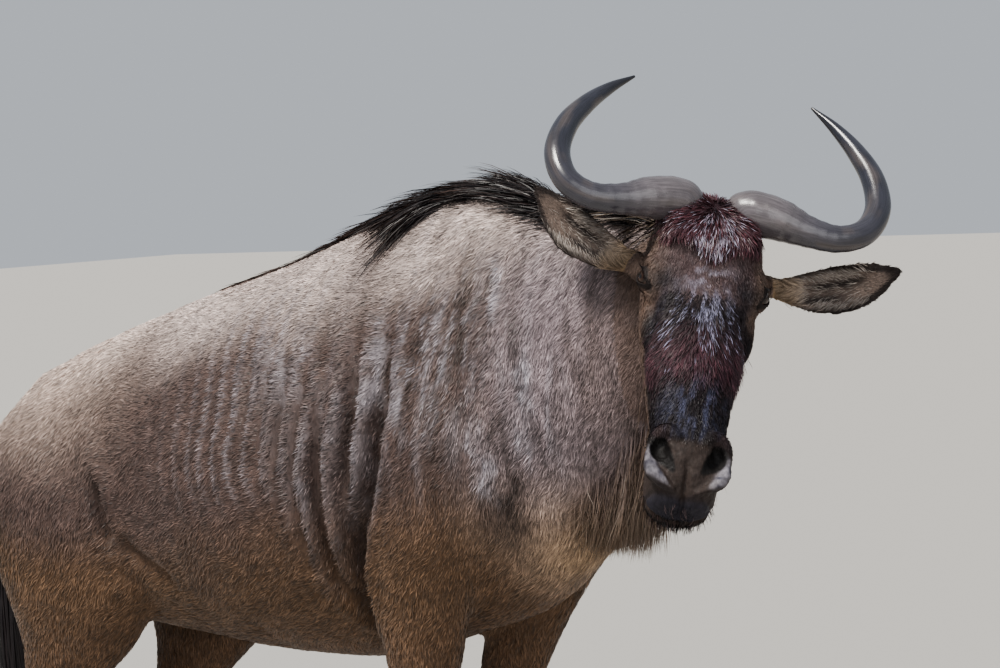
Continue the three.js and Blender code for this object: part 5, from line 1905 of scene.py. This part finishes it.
def dress_horns():
    for side, name in ((1, "horn_left"), (-1, "horn_right")):
        points = [on_face(share * HORN_REACH, down, out, side) for share, down, out in HORN_PATH]
        radii = [share * HORN_BASE_RADIUS for share in HORN_GIRTH]
        piece = tube(name + "_sheath", points, radii, 56, 170, 0, 1.0, (1, 0, 0.2), from_head)
        mesh = piece.data
        spots = read_points(mesh)
        normals = read_normals(mesh)
        t = np.linspace(0, 1, 300)
        line = from_head(flow(points, t))
        share = t[np.argmin(np.linalg.norm(spots[:, None, :] - line[None, ::3], axis=2), axis=1) * 3]
        onward = heading(points, share)
        thin = unit(np.array([1, 0, 0.2]) - onward * dot(onward, np.array([1, 0, 0.2]))[:, None])
        place = to_head(spots) - flow(points, share)
        angle = np.arctan2(dot(place, thin), dot(place, np.cross(onward, thin)))
        girth = 0.15 + 0.85 * flow(HORN_GIRTH, share)[:, 0]
        grain = np.stack([np.cos(angle) * girth, np.sin(angle) * girth, share * 0.9], 1)
        boss = 1 - ease(share, 0.16, 0.36)
        knobs = blobs(spots, 11, 41) * 1.4 + blobs(spots, 5, 42) * 0.6
        rings = np.sin(share * 150 + 1.5 * blobs(spots, 30, 43)) * bell(share - 0.3, 0.14) * 0.5
        write_points(mesh, spots + normals * (knobs * boss * 0.35 + rings * 0.7 - 0.3)[:, None])
        streaks = blobs(grain, (0.3, 0.3, 0.06), 44)
        dark = mix(HORN_GREY, HORN_BLUE, ease(share, 0.25, 0.7))
        colour = mix(dark, HORN_BROWN, 0.45 * ease(streaks, 0.0, 0.8) * (share < 0.85))
        colour = mix(colour, HORN_BOSS, 0.55 * boss)
        colour = mix(colour, HORN_TIP, 0.75 * ease(share, 0.82, 0.97))
        paint(mesh, colour * (1 + 0.14 * blobs(spots, 18, 45))[:, None])
        lengthwise = mesh.attributes.new("Grain", "FLOAT_VECTOR", "POINT")
        lengthwise.data.foreach_set("vector", grain.astype(np.float32).ravel())
        mesh.materials.append(HORN)
        smooth(piece)
        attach(piece, "root")
        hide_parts(name)


def dress_eyes():
    for side, name in ((1, "eye_left"), (-1, "eye_right")):
        piece = ball(name + "_ball", seated_eye(side), (EYE_RADIUS - 0.3,) * 3, 64, 48, from_head)
        mesh = piece.data
        out, along, high = eye_ways(side)
        place = to_head(read_points(mesh)) - seated_eye(side)
        long = dot(place, along)
        tall = dot(place, high)
        front = dot(place, out) > 0
        ring = np.sqrt(long**2 + tall**2)
        pupil = np.sqrt((long / 6.5) ** 2 + (tall / 3.2) ** 2)
        iris = mix(IRIS, IRIS_RIM, ease(ring, 6, 12))
        colour = mix(EYE_EDGE, iris, (1 - ease(ring, 12, 13.5)) * front)
        colour = mix(colour, PUPIL, (1 - ease(pupil, 0.85, 1.1)) * front)
        cornea = bell(ring, 10) * front * 1.6
        write_points(mesh, from_head(place + seated_eye(side) + out * cornea[:, None]))
        paint(mesh, colour)
        mesh.materials.append(EYE)
        smooth(piece)
        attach(piece, "root")
        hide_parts(name)


HOOF_LEAN = 0.17


def dress_hooves():
    for name in [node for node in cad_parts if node.startswith("hoof_")]:
        solid = bpy.data.objects[name]
        claw = solid.copy()
        claw.data = solid.data.copy()
        claw.name = name + "_wall"
        bpy.context.collection.objects.link(claw)
        claw.hide_render = False
        claw.hide_viewport = False
        activate(claw)
        bpy.ops.object.mode_set(mode="EDIT")
        bpy.ops.mesh.select_all(action="SELECT")
        bpy.ops.mesh.remove_doubles(threshold=0.0002)
        bpy.ops.mesh.dissolve_limited(angle_limit=math.radians(4))
        bpy.ops.object.mode_set(mode="OBJECT")
        # The wall leans in towards the coronet, so that no ledge stands round the pastern
        wall = read_points(claw.data)
        middle = (wall.min(axis=0) + wall.max(axis=0)) / 2
        height = (wall[:, 2] - wall[:, 2].min()) / np.ptp(wall[:, 2])
        lean = 1 - HOOF_LEAN * ease(height, 0.3, 1)
        wall[:, :2] = middle[:2] + (wall[:, :2] - middle[:2]) * lean[:, None]
        write_points(claw.data, wall)
        sharp = math.radians(32)
        apply_modifier(claw, "BEVEL", width=5 * MM, segments=4, limit_method="ANGLE", angle_limit=sharp)
        activate(claw)
        bpy.ops.object.shade_smooth_by_angle(angle=math.radians(45))
        claw.data.materials.clear()
        claw.data.materials.append(HOOF)
        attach(claw, "root")
        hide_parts(name)


# Floor and light


def place_stage():
    bpy.ops.mesh.primitive_plane_add(size=60)
    floor = bpy.context.object
    floor.name = "studio_floor"
    floor.data.materials.append(floor_material())
    world = bpy.data.worlds.new("studio_air")
    bpy.context.scene.world = world
    world.use_nodes = True
    set_sockets(world.node_tree.nodes["Background"], Color=(0.88, 0.93, 1.0, 1), Strength=0.5)
    lights = (
        ("high_sun", (-0.05, -0.52, 0.86), 4.2, 14, (1.0, 0.96, 0.9)),
        ("front_fill", (0.75, -0.55, 0.35), 1.0, 50, (1.0, 0.99, 0.98)),
    )
    for name, way, power, softness, colour in lights:
        bpy.ops.object.light_add(type="SUN", location=Vector(way) * 6)
        light = bpy.context.object
        light.name = name
        light.data.energy = power
        light.data.angle = math.radians(softness)
        light.data.color = colour
        light.rotation_euler = Vector(way).to_track_quat("Z", "Y").to_euler()
    bpy.context.scene.view_settings.look = "AgX - Medium High Contrast"


SKIN_TRIANGLES = 196000


def thin(skin):
    """Takes the skin down to its triangle limit once the coat has read its fine form."""
    triangles = sum(len(face.vertices) - 2 for face in skin.data.polygons)
    apply_modifier(skin, "DECIMATE", ratio=SKIN_TRIANGLES / triangles)
    smooth(skin)


def main():
    place_stage()
    skin = dress_skin()
    coat = Coat(skin)
    dress_fur(coat)
    dress_mane(coat)
    dress_tail()
    dress_beard(coat)
    dress_forelock(coat)
    dress_ear_hair(coat)
    dress_lashes()
    dress_bristles(coat)
    dress_horns()
    dress_eyes()
    dress_hooves()
    thin(skin)


main()
